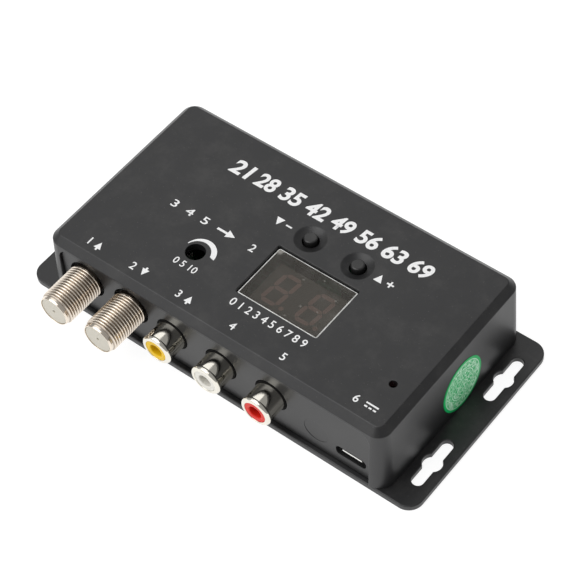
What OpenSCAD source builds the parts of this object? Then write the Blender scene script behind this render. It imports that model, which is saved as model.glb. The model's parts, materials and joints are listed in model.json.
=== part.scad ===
// RF modulator: a black moulded case on a slotted mounting plate, with two threaded aerial sockets,
// three phono sockets and a small power socket in front, and a two-digit channel display on top.
// The origin is the centre of the plate's underside. +Z is up, -Y is the socket side, and +X runs
// from the aerial sockets to the power socket. Lengths are in millimetres.

/* [Mounting plate] */
// Length of the plate over both ears
plate_l = 118.7; // [114:0.1:140]
// Width of the plate, front to back
plate_w = 57; // [56:0.1:70]
// Thickness of the plate
plate_t = 1.8; // [1.5:0.1:3]
// Radius of the plate's corners
plate_corner_r = 4; // [2:0.5:7]
// Width of a mounting slot
slot_w = 3.1; // [2.4:0.1:4]
// Length of a mounting slot from end to end
slot_l = 14.8; // [9:0.1:18]
// Distance between the two slots in one ear
slot_spacing = 29.4; // [22:0.1:34]
// Distance of a slot's centre line from the end of the plate
slot_inset = 4.25; // [3.5:0.05:4.75]
// Diameter of the round eye in the middle of a slot
slot_eye_d = 5; // [4.2:0.1:6]
// Height of the locating rim inside the case
rim_h = 1.6; // [1:0.1:1.8]
// Thickness of the locating rim
rim_t = 1.2; // [0.8:0.1:1.6]

/* [Cover] */
// Length of the cover at its foot
cover_l = 102.6; // [101:0.1:108]
// Distance by which the cover's foot stands over the plate's long edges
cover_overhang = 0.2; // [0:0.1:1]
// Height of the closed case above the surface it stands on
case_h = 23.4; // [22.9:0.1:30]
// Wall thickness at the foot
wall_t = 2.4; // [2:0.1:2.8]
// Thickness of the cover's top
top_t = 2.2; // [1.6:0.1:2.6]
// Draft angle of the outer walls, in degrees
draft = 2.5; // [0:0.25:4]
// Height and depth of the bevel round the top
edge_bevel = 1.85; // [0.5:0.05:2.2]
// Radius of the upright corners at the foot
corner_r = 4.4; // [4:0.1:6]
// Outer diameter of a screw column
column_d = 6; // [5:0.1:6.6]

/* [Socket panel] */
// Distance of the panel's face behind the foot of the cover's front
panel_setback = 1.4; // [1:0.1:2]
// Distance of the panel's opening from the cover's foot at either end
panel_open_inset = 4.5; // [3.8:0.1:6]
// Drop from the top of the case to the opening
panel_open_drop = 2.9; // [2.6:0.1:3.6]
// Radius of the opening's upper corners
panel_open_r = 3; // [1:0.5:5]
// Thickness of the lip behind the cover's wall
panel_lip_t = 1.4; // [1:0.1:1.8]
// Gap under the panel's face
panel_foot_gap = 0.4; // [0.2:0.1:1]

/* [Aerial sockets] */
// Distance of the first aerial socket from the cover's left foot
rf_offset = 12.3; // [11.8:0.1:13]
// Distance between the two aerial sockets
rf_pitch = 14.05; // [13:0.05:14.4]
// Drop from the top of the panel's opening to the aerial sockets' axis
rf_drop = 6.9; // [6.5:0.1:8]
// Outer diameter of the thread
rf_thread_d = 9.4; // [9:0.05:9.6]
// Pitch of the thread
rf_thread_pitch = 0.794; // [0.7:0.002:1]
// Depth of the thread
rf_thread_depth = 0.42; // [0.2:0.01:0.45]
// Distance of a socket's mouth in front of the panel
rf_reach = 12.4; // [10:0.1:15]
// Diameter of a panel hole for an aerial socket
rf_hole_d = 10.6; // [10:0.1:11]

/* [Phono sockets] */
// Distance from the second aerial socket to the first phono socket
av_shift = 12.75; // [12:0.05:15]
// Distance between neighbouring phono sockets
av_pitch = 15.05; // [12:0.05:15.5]
// Drop from the top of the panel's opening to the phono sockets' axis
av_drop = 8.2; // [7:0.1:9]
// Outer diameter of the metal shell
av_shell_d = 8.3; // [8:0.05:8.6]
// Distance of a shell's mouth in front of the panel
av_reach = 6.2; // [4:0.1:9]
// Diameter of a panel hole for a phono socket
av_hole_d = 9.3; // [9:0.1:10]
// Diameter of the hole for the plug's pin
av_pin_hole_d = 3.5; // [3.3:0.1:4]

/* [Power socket] */
// Distance of the power socket from the cover's right foot
usb_offset = 10.35; // [9.5:0.05:14]
// Length of the slot in the panel
usb_slot_l = 8.6; // [8.4:0.1:10]
// Height of the slot in the panel
usb_slot_h = 3.1; // [3:0.1:4.6]

/* [Top] */
// Distance of the window's centre right of the middle of the case
window_shift = 9.75; // [8:0.05:11]
// Distance of the window's centre behind the panel's face
window_back = 21.4; // [21.2:0.1:24]
// Length of the window opening
window_l = 24; // [22:0.1:26]
// Width of the window opening
window_w = 17; // [15:0.1:18]
// Depth of the window's face below the top of the case
window_sink = 0.7; // [0:0.1:1.2]
// Distance between the two buttons
button_pitch = 14.1; // [10:0.1:18]
// Distance of the buttons behind the panel's face
button_back = 35.7; // [35.2:0.1:38]
// Diameter of a button's round stem
stem_d = 3.5; // [3:0.1:3.8]
// Height of a button above the top of the case
stem_proud = 0.7; // [0.4:0.1:2]
// Travel of a button
stem_travel = 0.3; // [0.1:0.05:0.4]
// Diameter of the dish round a button
dish_d = 8.2; // [6:0.1:9]
// Depth of the dish
dish_depth = 1.1; // [0.5:0.1:1.3]
// Diameter of the hole for a button's stem
stem_hole_d = 4.3; // [4:0.1:5]
// Distance from the second aerial socket to the adjuster
adjuster_shift = 7.65; // [7:0.05:9]
// Distance of the adjuster behind the panel's face
adjuster_back = 16.45; // [16:0.05:20]
// Diameter of the hole over the adjuster
adjuster_hole_d = 5; // [3:0.1:6]
// Distance of the pilot lamp from the cover's right foot
lamp_offset = 7.65; // [7:0.05:12]
// Distance of the pilot lamp behind the panel's face
lamp_back = 13; // [10:0.1:18]
// Diameter of the pilot lamp's hole
lamp_hole_d = 2; // [1.5:0.1:2.8]

/* [Inspection sticker] */
// Diameter of the round sticker
sticker_d = 15.2; // [10:0.1:16]
// Height of the sticker's centre above the plate
sticker_h = 7.8; // [7:0.1:9]
// Distance of the sticker's centre behind the middle of the case
sticker_back = 3; // [-8:0.1:8]

/* [Boards] */
// Height of the main board above the plate
standoff_h = 2; // [2:0.1:3]
// Thickness of both boards
board_t = 1.6; // [1:0.1:1.6]
// Height of the display board above the main board
spacer_h = 4.9; // [3:0.1:5.4]
// Height of the digits
digit_h = 10.16; // [8:0.02:11]
// Distance between the two digits
digit_pitch = 10.1; // [8:0.1:10.5]
// Lean of the digits, in degrees
digit_lean = 6; // [0:1:10]

/* [Hidden] */
$fn = 64;
hull_fn = 40;

// Overrun of a cut past the face that it opens
cut = 1;
// Depth by which a rib or a column is let into the wall that carries it
bond = 0.3;
// Gap between pieces that slip together
slip = 0.15;
// Gap between a board and what stands round it
board_gap = 1.5;

// The cover's levels and its inner faces
cover_w = plate_w + 2 * cover_overhang;
bevel_z = case_h - edge_bevel;
shoulder_r = corner_r - (bevel_z - plate_t) * tan(draft);
ceiling_z = case_h - top_t;
cavity_l = cover_l - 2 * wall_t;
cavity_w = cover_w - 2 * wall_t;
cavity_r = 0.6;
left_x = -cover_l / 2;
right_x = cover_l / 2;

// The panel's faces, its outline and the guides behind it
panel_y = panel_setback - cover_w / 2;
panel_seat_y = -cavity_w / 2;
panel_back_y = panel_seat_y + panel_lip_t;
panel_open_z = case_h - panel_open_drop;
panel_open_l = cover_l - 2 * panel_open_inset;
panel_lip_x = cavity_l / 2 - cavity_r - slip;
panel_lip_z = ceiling_z - slip;
panel_lip_r = 1;
guide_w = 2.2;
guide_t = 1.2;
guide_rise = 2;
knockout_d = 7;
knockout_depth = 0.25;
knockout_h = 3.5;
knockout_gap = 13.1;

// Screw columns of the cover, and the screws that reach them from below
column_inset = 3.6;
column_front_back = 22.8;
column_x = cavity_l / 2 - column_inset;
column_back_y = cavity_w / 2 - column_inset;
column_front_y = panel_y + column_front_back;
column_ys = [column_front_y, column_back_y];
column_web_t = 1.6;
column_room = 0.5;
case_screw_d = 2.5;
case_screw_l = 9;
case_screw_head_d = 4.9;
case_screw_head_h = 1.2;
case_screw_sink = 0.15;
case_screw_play = 0.05;
case_pilot_depth = 8.4;
drive_slot_w = 0.7;
drive_slot_depth = 0.6;

// The main board, its standoffs and screws
board_z = plate_t + standoff_h;
board_top = board_z + board_t;
board_l = cavity_l - 2 * board_gap;
board_front_gap = 0.3;
board_front_y = panel_back_y + board_front_gap;
board_back_y = cavity_w / 2 - board_gap;
board_screw_inset = 11.5;
board_screw_x = cavity_l / 2 - board_screw_inset;
board_screw_front_back = 24.1;
board_screw_front_y = panel_y + board_screw_front_back;
board_screw_back_inset = 6;
board_screw_back_y = cavity_w / 2 - board_screw_back_inset;
board_screw_ys = [board_screw_front_y, board_screw_back_y];
standoff_d = 5.5;
small_screw_d = 2;
small_screw_play = 0.05;
small_screw_grip = 4;
small_head_d = 3.8;
small_head_h = 1.4;
board_hole_d = 2.3;
pilot_floor = 0.8;

// Places of the sockets
rf_xs = [left_x + rf_offset, left_x + rf_offset + rf_pitch];
rf_z = panel_open_z - rf_drop;
av_xs = [for (i = [0 : 2]) rf_xs[1] + av_shift + i * av_pitch];
av_z = panel_open_z - av_drop;
adjuster_x = rf_xs[1] + adjuster_shift;
adjuster_y = panel_y + adjuster_back;
usb_x = right_x - usb_offset;

// The shielding can
trimmer_w = 4.8;
can_gap = 0.275;
can_margin = adjuster_shift - trimmer_w / 2 - can_gap;
can_l = rf_pitch + 2 * can_margin;
can_depth = 15.4;
can_t = 0.4;
can_x = (rf_xs[0] + rf_xs[1]) / 2;
can_head_room = 1.4;
can_top = ceiling_z - can_head_room;
can_skirt = 2;
can_skirt_t = 0.3;
can_skirt_play = 0.05;
can_vent_d = 2;
can_vent_pitch = 4;
can_vents = 4;
can_vent_rows = 3;

// An aerial socket, measured forwards from the front of the can
rf_l = board_front_y - panel_y + rf_reach;
rf_root_r = rf_thread_d / 2 - rf_thread_depth;
rf_nose_l = 1.1;
rf_shank_gap = 0.1;
rf_shank_l = board_front_y - panel_y + rf_shank_gap;
rf_crest_share = 0.28;
rf_mouth_r = 3.9;
rf_mouth_depth = 2.6;
rf_mouth_sink = 0.15;
rf_bore_r = 3.1;
rf_tail_r = 3.6;
rf_tail_l = 1.6;
rf_tail_play = 0.05;
rf_pin_hole_r = 0.55;
rf_contact_r = 1.3;
rf_contact_front = 1.2;
rf_contact_tail_r = 0.45;
rf_contact_tail_l = 2.4;

// A phono socket, measured forwards from the front of its housing
av_l = board_front_y - panel_y + av_reach;
av_body_l = 10;
av_body_depth = 9.5;
av_body_over = 5.1;
av_collar_proud = 0.1;
av_collar_l = board_front_y - panel_y + av_collar_proud;
av_root_step = 0.22;
av_body_h = av_z + av_body_over - board_top;
av_wall = 0.45;
av_lip_r = 0.75;
av_lip_proud = 0.1;
av_lip_start = -30;
av_lip_steps = 8;
av_mouth_r = 3.05;
av_face_sink = 0.1;
av_rear_gap = 0.3;
av_contact_t = 0.15;
av_contact_back = 3;
av_edge_r = 0.8;

// The power socket
usb_shell_l = 7.5;
usb_shell_h = 2.55;
usb_shell_depth = 5;
usb_shell_t = 0.25;
usb_shell_r = 0.7;
usb_shell_sink = 1.5;
usb_shift = 0.4;
usb_lip_l = 5.5;
usb_lip_t = 0.35;
usb_lip_sink = 0.15;
usb_tongue_l = 3.9;
usb_tongue_t = 0.6;
usb_tongue_sink = 0.7;
usb_tongue_gap = 0.45;
usb_block_depth = 1.5;
usb_slot_r = 1.3;
usb_z = board_top + usb_shell_h / 2;
usb_back_y = panel_y + usb_shell_sink + usb_shell_depth;

// The window insert and the display under it
window_x = window_shift;
window_y = panel_y + window_back;
window_r = 0.5;
window_play = 0.25;
window_flange = 1.2;
window_flange_t = 1;
display_gap = 0.3;
display_l = 20.1;
display_w = 13;
display_z = ceiling_z - window_flange_t - display_gap;
segment_w = 1.15;
segment_gap = 0.12;
segment_t = 0.3;
digit_share = 0.54;
dot_d = 1.3;
dot_gap = 0.5;

// The display board, its spacers and its plug row
top_board_z = board_top + spacer_h;
top_board_top = top_board_z + board_t;
display_h = display_z - top_board_top;
top_board_margin_x = 6.2;
top_board_l = display_l + 2 * top_board_margin_x;
top_board_margin_y = 1.6;
top_board_front_y = window_y - display_w / 2 - top_board_margin_y;
button_y = panel_y + button_back;
button_xs = [window_x - button_pitch / 2, window_x + button_pitch / 2];
top_board_back_margin = 6;
top_board_back_y = button_y + top_board_back_margin;
spacer_d = 4.4;
spacer_inset = 2.5;
spacer_xs = [window_x - top_board_l / 2 + spacer_inset, window_x + top_board_l / 2 - spacer_inset];
spacer_ys = [top_board_front_y + spacer_inset, top_board_back_y - spacer_inset];
nut_width = 4;
nut_h = 1.6;
pin_count = 8;
pin_pitch = 2.54;
pin_w = 0.64;
header_w = 2.5;
header_h = 2;

// A push switch, standing on the display board
switch_w = 6;
switch_h = 3.4;
switch_plate_t = 0.3;
switch_floor = 0.7;
switch_room_r = 2.6;
switch_bore_play = 0.08;
stem_flange_r = 2.3;
stem_flange_h = 1;
stem_nub_r = 0.8;
stem_press_gap = 0.05;
stem_rest_gap = 0.1;
stem_edge = 0.25;
dome_r = 2.4;
dome_crown_r = 1;
dome_h = 0.35;
dome_t = 0.12;
stem_nub_h = switch_h - switch_plate_t - stem_rest_gap - stem_flange_h - switch_floor - dome_h
  - stem_travel - stem_press_gap;

// The adjuster
trimmer_h = 4.6;
rotor_d = 3.6;
rotor_h = 0.9;
rotor_gap = 0.1;
rotor_shaft_r = 0.9;
rotor_shaft_l = 2.4;
rotor_shaft_play = 0.05;
rotor_slot_w = 0.6;
rotor_slot_depth = 0.55;

// The pilot lamp
lamp_x = right_x - lamp_offset;
lamp_y = panel_y + lamp_back;
lamp_d = 3;
lamp_h = 5.2;
lamp_flange_d = 3.8;
lamp_flange_h = 1;
lamp_head_room = 0.4;
lamp_z = ceiling_z - lamp_head_room - lamp_h;
lead_w = 0.5;
lead_pitch = 2.54;

// Parts on the main board
ic_l = 10.3;
ic_w = 7.5;
ic_h = 2.3;
ic_foot = 0.15;
ic_pins = 8;
ic_pitch = 1.27;
ic_pin_w = 0.42;
ic_pin_t = 0.25;
ic_pin_reach = 1.4;
ic_pin_level_share = 0.4;
ic_behind_panel = 10;
ic_wall_gap = 2;
control_w = 10;
control_h = 1.45;
control_pins = 11;
control_pitch = 0.8;
control_pin_w = 0.35;
control_back = 26;
coil_r = 2.4;
coil_h = 4.2;
coil_flange = 0.7;
coil_waist = 0.5;
coil_wall_gap = 1.5;
coil_near_back = 7.6;
coil_far_back = 13.6;
regulator_l = 6.5;
regulator_w = 3.5;
regulator_h = 1.6;
regulator_offset = 19.5;
regulator_behind_panel = 15.5;
choke_w = 7.2;
choke_h = 3.6;
choke_column_gap = 3;
crystal_l = 10.4;
crystal_w = 4.4;
crystal_h = 3.4;
crystal_offset = 37.5;
crystal_behind_panel = 24;
can_capacitor_r = 4;
can_capacitor_h = 9;
capacitor_crimp = 0.35;
capacitor_crimp_h = 1.6;
capacitor_edge = 0.5;
capacitor_left_offset = 22.5;
capacitor_board_gap = 1.3;
capacitor_back_inset = 6.2;
capacitor_pitch = 8.8;
chip_l = 2;
chip_w = 1.25;
chip_h = 0.5;
chip_columns = 4;
chip_rows = 3;
chip_pitch_x = 3.8;
chip_pitch_y = 2.8;
chip_left_offset = 31;
chip_back_inset = 2.3;

// Sticker
sticker_t = 0.12;

// A rectangle with round corners, centred on the origin
module rounded_rect(l, w, r) {
  square([l - 2 * r, w], center = true);
  square([l, w - 2 * r], center = true);
  for (sx = [-1, 1], sy = [-1, 1])
    translate([sx * (l / 2 - r), sy * (w / 2 - r)]) circle(r = r);
}

// An upright outline with square lower corners and round upper ones
module arch(l, low, high, r) {
  translate([-l / 2, low]) square([l, high - low - r]);
  translate([r - l / 2, low]) square([l - 2 * r, high - low]);
  for (sx = [-1, 1]) translate([sx * (l / 2 - r), high - r]) circle(r = r);
}

// Turns a shape so that its +Z points forwards, out of the socket panel, from a place at depth y
module facing_front(x, y, z) {
  translate([x, y, z]) rotate([90, 0, 0]) children();
}

// The four places of the screw columns
module at_columns() {
  for (sx = [-1, 1], y = column_ys) translate([sx * column_x, y, 0]) children();
}

// Room round a column and its web, for the rim and the board
module column_room_shape(h) {
  at_columns() cylinder(h = h, d = column_d + 2 * column_room);
  for (sx = [-1, 1], y = column_ys)
    translate([sx * (column_x + cavity_l / 4), y, h / 2])
      cube([cavity_l / 2, column_web_t + 2 * column_room, h], center = true);
}

// The places of the main board's screws
module at_board_screws() {
  for (sx = [-1, 1], y = board_screw_ys) translate([sx * board_screw_x, y, 0]) children();
}

// The places of the spacers between the boards
module at_spacers() {
  for (x = spacer_xs, y = spacer_ys) translate([x, y, 0]) children();
}

// A mounting slot with its eye
module ear_slot() {
  square([slot_w, slot_l - slot_w], center = true);
  for (sy = [-1, 1]) translate([0, sy * (slot_l - slot_w) / 2]) circle(d = slot_w);
  circle(d = slot_eye_d);
}

module base_plate() {
  color([0.13, 0.13, 0.135])
    difference() {
      union() {
        linear_extrude(plate_t) rounded_rect(plate_l, plate_w, plate_corner_r);
        locating_rim();
        at_board_screws() cylinder(h = board_z, d = standoff_d);
      }
      for (sx = [-1, 1], sy = [-1, 1])
        translate([sx * (plate_l / 2 - slot_inset), sy * slot_spacing / 2, -cut])
          linear_extrude(plate_t + 2 * cut) ear_slot();
      at_columns() case_screw_hole();
      at_board_screws()
        translate([0, 0, pilot_floor]) cylinder(h = board_z, d = small_screw_d + 2 * small_screw_play);
    }
}

// The rim that locates the cover and backs the panel, open where the columns stand
module locating_rim() {
  front_y = panel_back_y + slip;
  back_y = cavity_w / 2 - slip;
  rim_l = cavity_l - 2 * slip;
  rim_w = back_y - front_y;
  difference() {
    translate([0, (front_y + back_y) / 2, plate_t - bond])
      linear_extrude(rim_h + bond)
        difference() {
          rounded_rect(rim_l, rim_w, cavity_r);
          rounded_rect(rim_l - 2 * rim_t, rim_w - 2 * rim_t, cavity_r / 2);
        }
    translate([0, 0, plate_t]) column_room_shape(rim_h + cut);
  }
}

// A countersunk hole through the plate
module case_screw_hole() {
  translate([0, 0, -cut]) cylinder(h = plate_t + 2 * cut, d = case_screw_d + 4 * case_screw_play);
  translate([0, 0, -cut]) cylinder(h = cut + case_screw_sink, d = case_screw_head_d + 4 * case_screw_play);
  translate([0, 0, case_screw_sink])
    cylinder(h = case_screw_head_h, d1 = case_screw_head_d + 4 * case_screw_play,
      d2 = case_screw_d + 4 * case_screw_play);
}

module case_screws() {
  color([0.35, 0.35, 0.36])
    at_columns()
      difference() {
        union() {
          translate([0, 0, case_screw_sink])
            cylinder(h = case_screw_head_h, d1 = case_screw_head_d, d2 = case_screw_d);
          translate([0, 0, case_screw_sink])
            cylinder(h = case_screw_l, d = case_screw_d);
        }
        for (turn = [0, 90])
          rotate(turn)
            translate([0, 0, case_screw_sink])
              cube([case_screw_d, drive_slot_w, 2 * drive_slot_depth], center = true);
      }
}

// The drafted and bevelled outside of the cover
module cover_blank() {
  hull()
    for (sx = [-1, 1], sy = [-1, 1])
      translate([sx * (cover_l / 2 - corner_r), sy * (cover_w / 2 - corner_r), plate_t]) {
        cylinder(h = bevel_z - plate_t, r1 = corner_r, r2 = shoulder_r, $fn = hull_fn);
        translate([0, 0, bevel_z - plate_t])
          cylinder(h = edge_bevel, r1 = shoulder_r, r2 = shoulder_r - edge_bevel, $fn = hull_fn);
      }
}

module case_cover() {
  color([0.14, 0.14, 0.145])
    difference() {
      union() {
        difference() {
          cover_blank();
          translate([0, 0, plate_t - cut])
            linear_extrude(ceiling_z - plate_t + cut) rounded_rect(cavity_l, cavity_w, cavity_r);
        }
        cover_columns();
        panel_guides();
      }
      facing_front(0, panel_seat_y + cut, 0)
        linear_extrude(wall_t + 2 * cut) arch(panel_open_l, plate_t - cut, panel_open_z, panel_open_r);
      translate([window_x, window_y, ceiling_z - cut])
        linear_extrude(top_t + 2 * cut) rounded_rect(window_l, window_w, window_r);
      for (x = button_xs) translate([x, button_y, 0]) button_dish();
      translate([adjuster_x, adjuster_y, ceiling_z - cut])
        cylinder(h = top_t + 2 * cut, d = adjuster_hole_d);
      translate([lamp_x, lamp_y, ceiling_z - cut]) cylinder(h = top_t + 2 * cut, d = lamp_hole_d);
      at_columns()
        translate([0, 0, plate_t - cut])
          cylinder(h = case_pilot_depth + cut, d = case_screw_d + 2 * case_screw_play);
    }
}

// The columns that take the case screws, each webbed to its side wall
module cover_columns() {
  column_h = ceiling_z - plate_t + bond;
  at_columns() translate([0, 0, plate_t]) cylinder(h = column_h, d = column_d);
  for (sx = [-1, 1], y = column_ys)
    translate([sx * (column_x + (column_inset + bond) / 2), y, plate_t + column_h / 2])
      cube([column_inset + bond, column_web_t, column_h], center = true);
}

// The two upright guides that hold the panel against the cover's front wall
module panel_guides() {
  low = board_top + guide_rise;
  for (sx = [-1, 1])
    translate([sx * (cavity_l / 2 + (bond - guide_w) / 2), panel_back_y + slip + guide_t / 2,
        (low + ceiling_z + bond) / 2])
      cube([guide_w + bond, guide_t, ceiling_z + bond - low], center = true);
}

// The dish and the hole for one button
module button_dish() {
  ball_r = (dish_d * dish_d / 4 + dish_depth * dish_depth) / (2 * dish_depth);
  translate([0, 0, case_h - dish_depth + ball_r]) sphere(r = ball_r);
  translate([0, 0, ceiling_z - cut]) cylinder(h = top_t + 2 * cut, d = stem_hole_d);
}

module front_panel() {
  color([0.17, 0.17, 0.17])
    difference() {
      union() {
        facing_front(0, panel_back_y, 0)
          linear_extrude(panel_lip_t)
            arch(2 * panel_lip_x, plate_t, panel_lip_z, panel_lip_r);
        facing_front(0, panel_back_y, 0)
          linear_extrude(panel_back_y - panel_y)
            arch(panel_open_l - 2 * slip, plate_t + panel_foot_gap, panel_open_z - slip,
              panel_open_r - slip);
      }
      for (x = rf_xs) panel_hole(x, rf_z, rf_hole_d);
      for (x = av_xs) panel_hole(x, av_z, av_hole_d);
      facing_front(usb_x, panel_back_y + cut, usb_z)
        linear_extrude(panel_back_y - panel_y + 2 * cut) rounded_rect(usb_slot_l, usb_slot_h, usb_slot_r);
      facing_front(av_xs[2] + knockout_gap, panel_y + knockout_depth, board_top + knockout_h)
        cylinder(h = knockout_depth + cut, d = knockout_d);
    }
}

// A round hole through the panel
module panel_hole(x, z, d) {
  facing_front(x, panel_back_y + cut, z) cylinder(h = panel_back_y - panel_y + 2 * cut, d = d);
}

module display_window() {
  color([0.32, 0.3, 0.27])
    translate([window_x, window_y, 0]) {
      translate([0, 0, ceiling_z - window_flange_t])
        linear_extrude(case_h - window_sink - ceiling_z + window_flange_t)
          rounded_rect(window_l - 2 * window_play, window_w - 2 * window_play, window_r);
      translate([0, 0, ceiling_z - window_flange_t])
        linear_extrude(window_flange_t)
          rounded_rect(window_l + 2 * window_flange, window_w + 2 * window_flange, window_r);
    }
}

module main_board() {
  color([0.1, 0.36, 0.2])
    difference() {
      translate([-board_l / 2, board_front_y, board_z])
        cube([board_l, board_back_y - board_front_y, board_t]);
      translate([0, 0, board_z - cut]) column_room_shape(board_t + 2 * cut);
      at_board_screws() translate([0, 0, board_z - cut]) cylinder(h = board_t + 2 * cut, d = board_hole_d);
      at_spacers() translate([0, 0, board_z - cut]) cylinder(h = board_t + 2 * cut, d = board_hole_d);
    }
}

// A small pan-headed screw with a cross slot, its head's underside at z = 0
module small_screw(shank_l) {
  difference() {
    union() {
      cylinder(h = small_head_h, d1 = small_head_d, d2 = small_screw_d + small_head_h);
      translate([0, 0, -shank_l]) cylinder(h = shank_l + small_head_h / 2, d = small_screw_d);
    }
    for (turn = [0, 90])
      rotate(turn)
        translate([0, 0, small_head_h])
          cube([small_screw_d, drive_slot_w, 2 * drive_slot_depth], center = true);
  }
}

module board_screws() {
  color([0.72, 0.72, 0.74]) at_board_screws() translate([0, 0, board_top]) small_screw(small_screw_grip);
}

module shield_frame() {
  inner_l = can_l - 2 * can_t;
  inner_depth = can_depth - 2 * can_t;
  h = can_top - can_t - board_top;
  color([0.75, 0.75, 0.74])
    difference() {
      translate([can_x - can_l / 2, board_front_y, board_top]) cube([can_l, can_depth, h]);
      translate([can_x - inner_l / 2, board_front_y + can_t, board_top - cut])
        cube([inner_l, inner_depth, h + 2 * cut]);
      for (x = rf_xs)
        facing_front(x, board_front_y + can_t + cut, rf_z)
          cylinder(h = can_t + 2 * cut, r = rf_tail_r + rf_tail_play);
    }
}

module shield_lid() {
  inner_l = can_l - 2 * (can_t + can_skirt_play);
  inner_depth = can_depth - 2 * (can_t + can_skirt_play);
  mid_y = board_front_y + can_depth / 2;
  color([0.78, 0.78, 0.77])
    difference() {
      union() {
        translate([can_x, mid_y, can_top - can_t / 2]) cube([can_l, can_depth, can_t], center = true);
        translate([can_x, mid_y, can_top - (can_t + can_skirt) / 2])
          cube([inner_l, inner_depth, can_t + can_skirt], center = true);
      }
      translate([can_x, mid_y, can_top - can_t - can_skirt / 2 - cut / 2])
        cube([inner_l - 2 * can_skirt_t, inner_depth - 2 * can_skirt_t, can_skirt + cut], center = true);
      for (i = [0 : can_vents - 1], j = [0 : can_vent_rows - 1])
        translate([can_x + (i - (can_vents - 1) / 2) * can_vent_pitch,
            mid_y + (j - (can_vent_rows - 1) / 2) * can_vent_pitch, can_top - can_t - cut])
          cylinder(h = can_t + 2 * cut, d = can_vent_d);
    }
}

// The outline of a threaded barrel: [radius, distance from the can] pairs up the ridges
function ridge_points(start, count) = [for (i = [0 : count - 1], p = [
  [rf_root_r, start + i * rf_thread_pitch],
  [rf_thread_d / 2, start + (i + 0.5 - rf_crest_share / 2) * rf_thread_pitch],
  [rf_thread_d / 2, start + (i + 0.5 + rf_crest_share / 2) * rf_thread_pitch]]) p];

module f_barrel(x) {
  ridge_end = rf_l - rf_nose_l;
  ridge_count = floor((ridge_end - rf_shank_l) / rf_thread_pitch);
  ridge_start = ridge_end - ridge_count * rf_thread_pitch;
  outline = concat([[rf_bore_r, -rf_tail_l], [rf_tail_r, -rf_tail_l], [rf_tail_r, 0], [rf_root_r, 0]],
    ridge_points(ridge_start, ridge_count),
    [[rf_root_r, ridge_end], [rf_root_r, rf_l - rf_nose_l / 3], [rf_root_r - rf_nose_l / 6, rf_l],
      [rf_mouth_r, rf_l], [rf_mouth_r, rf_l - rf_mouth_depth], [rf_bore_r, rf_l - rf_mouth_depth]]);
  color([0.72, 0.68, 0.6]) facing_front(x, board_front_y, rf_z) rotate_extrude() polygon(outline);
}

module f_insulator(x) {
  color([0.84, 0.82, 0.75])
    facing_front(x, board_front_y, rf_z)
      difference() {
        union() {
          translate([0, 0, -rf_tail_l]) cylinder(h = rf_l - rf_mouth_depth + rf_tail_l, r = rf_bore_r);
          translate([0, 0, rf_l - rf_mouth_depth])
            cylinder(h = rf_mouth_depth - rf_mouth_sink, r = rf_mouth_r);
        }
        translate([0, 0, -rf_tail_l - cut]) cylinder(h = rf_l + rf_tail_l + 2 * cut, r = rf_pin_hole_r);
        translate([0, 0, -rf_tail_l - cut])
          cylinder(h = rf_l - rf_contact_front + rf_tail_l + cut, r = rf_contact_r);
      }
}

module f_contact(x) {
  color([0.8, 0.66, 0.34])
    facing_front(x, board_front_y, rf_z)
      difference() {
        union() {
          translate([0, 0, -rf_tail_l]) cylinder(h = rf_l - rf_contact_front + rf_tail_l, r = rf_contact_r);
          translate([0, 0, -rf_tail_l - rf_contact_tail_l])
            cylinder(h = rf_contact_tail_l + bond, r = rf_contact_tail_r);
        }
        cylinder(h = rf_l + cut, r = rf_pin_hole_r);
      }
}

module f_barrel_in() { f_barrel(rf_xs[0]); }
module f_barrel_out() { f_barrel(rf_xs[1]); }
module f_insulator_in() { f_insulator(rf_xs[0]); }
module f_insulator_out() { f_insulator(rf_xs[1]); }
module f_contact_in() { f_contact(rf_xs[0]); }
module f_contact_out() { f_contact(rf_xs[1]); }

// The block of a phono socket that stands on the main board, with a collar round its shell
module rca_housing(x) {
  color([0.1, 0.1, 0.1])
    difference() {
      union() {
        facing_front(x, board_front_y + av_body_depth, board_top)
          linear_extrude(av_body_depth)
            arch(av_body_l, 0, av_body_h, av_edge_r);
        facing_front(x, board_front_y + bond, av_z)
          cylinder(h = av_collar_l + bond, r = av_hole_d / 2 - slip);
      }
      facing_front(x, board_front_y, av_z)
        cylinder(h = av_collar_l + cut, r = av_shell_d / 2 - av_root_step);
      facing_front(x, board_front_y + av_contact_back, av_z)
        cylinder(h = av_contact_back + cut, d = av_pin_hole_d + 2 * av_contact_t);
    }
}

// The metal shell of a phono socket, rolled in at its mouth
module rca_shell(x) {
  r = av_shell_d / 2;
  lip = [for (i = [0 : av_lip_steps], a = av_lip_start + (90 - av_lip_start) * i / av_lip_steps)
    [r + av_lip_proud - av_lip_r * (1 - cos(a)), av_l - av_lip_r * (1 - sin(a))]];
  outline = concat([[r - av_wall, 0], [r - av_root_step, 0], [r - av_root_step, av_collar_l],
      [r, av_collar_l]], lip,
    [[av_mouth_r, av_l], [av_mouth_r, av_l - av_wall], [r - av_wall, av_l - av_wall]]);
  color([0.82, 0.82, 0.8]) facing_front(x, board_front_y, av_z) rotate_extrude() polygon(outline);
}

// The insulator that fills a shell up to its mouth
module rca_insulator(x, tint) {
  r = av_shell_d / 2 - av_wall;
  outline = [[av_pin_hole_d / 2, av_rear_gap], [r, av_rear_gap], [r, av_l - av_wall],
    [av_mouth_r, av_l - av_wall], [av_mouth_r, av_l - av_face_sink],
    [av_pin_hole_d / 2, av_l - av_face_sink]];
  color(tint) facing_front(x, board_front_y, av_z) rotate_extrude() polygon(outline);
}

module rca_contact(x) {
  color([0.8, 0.66, 0.34])
    facing_front(x, board_front_y + av_contact_back, av_z)
      difference() {
        cylinder(h = av_contact_back, d = av_pin_hole_d + 2 * av_contact_t);
        translate([0, 0, av_contact_t]) cylinder(h = av_contact_back, d = av_pin_hole_d);
      }
}

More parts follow.
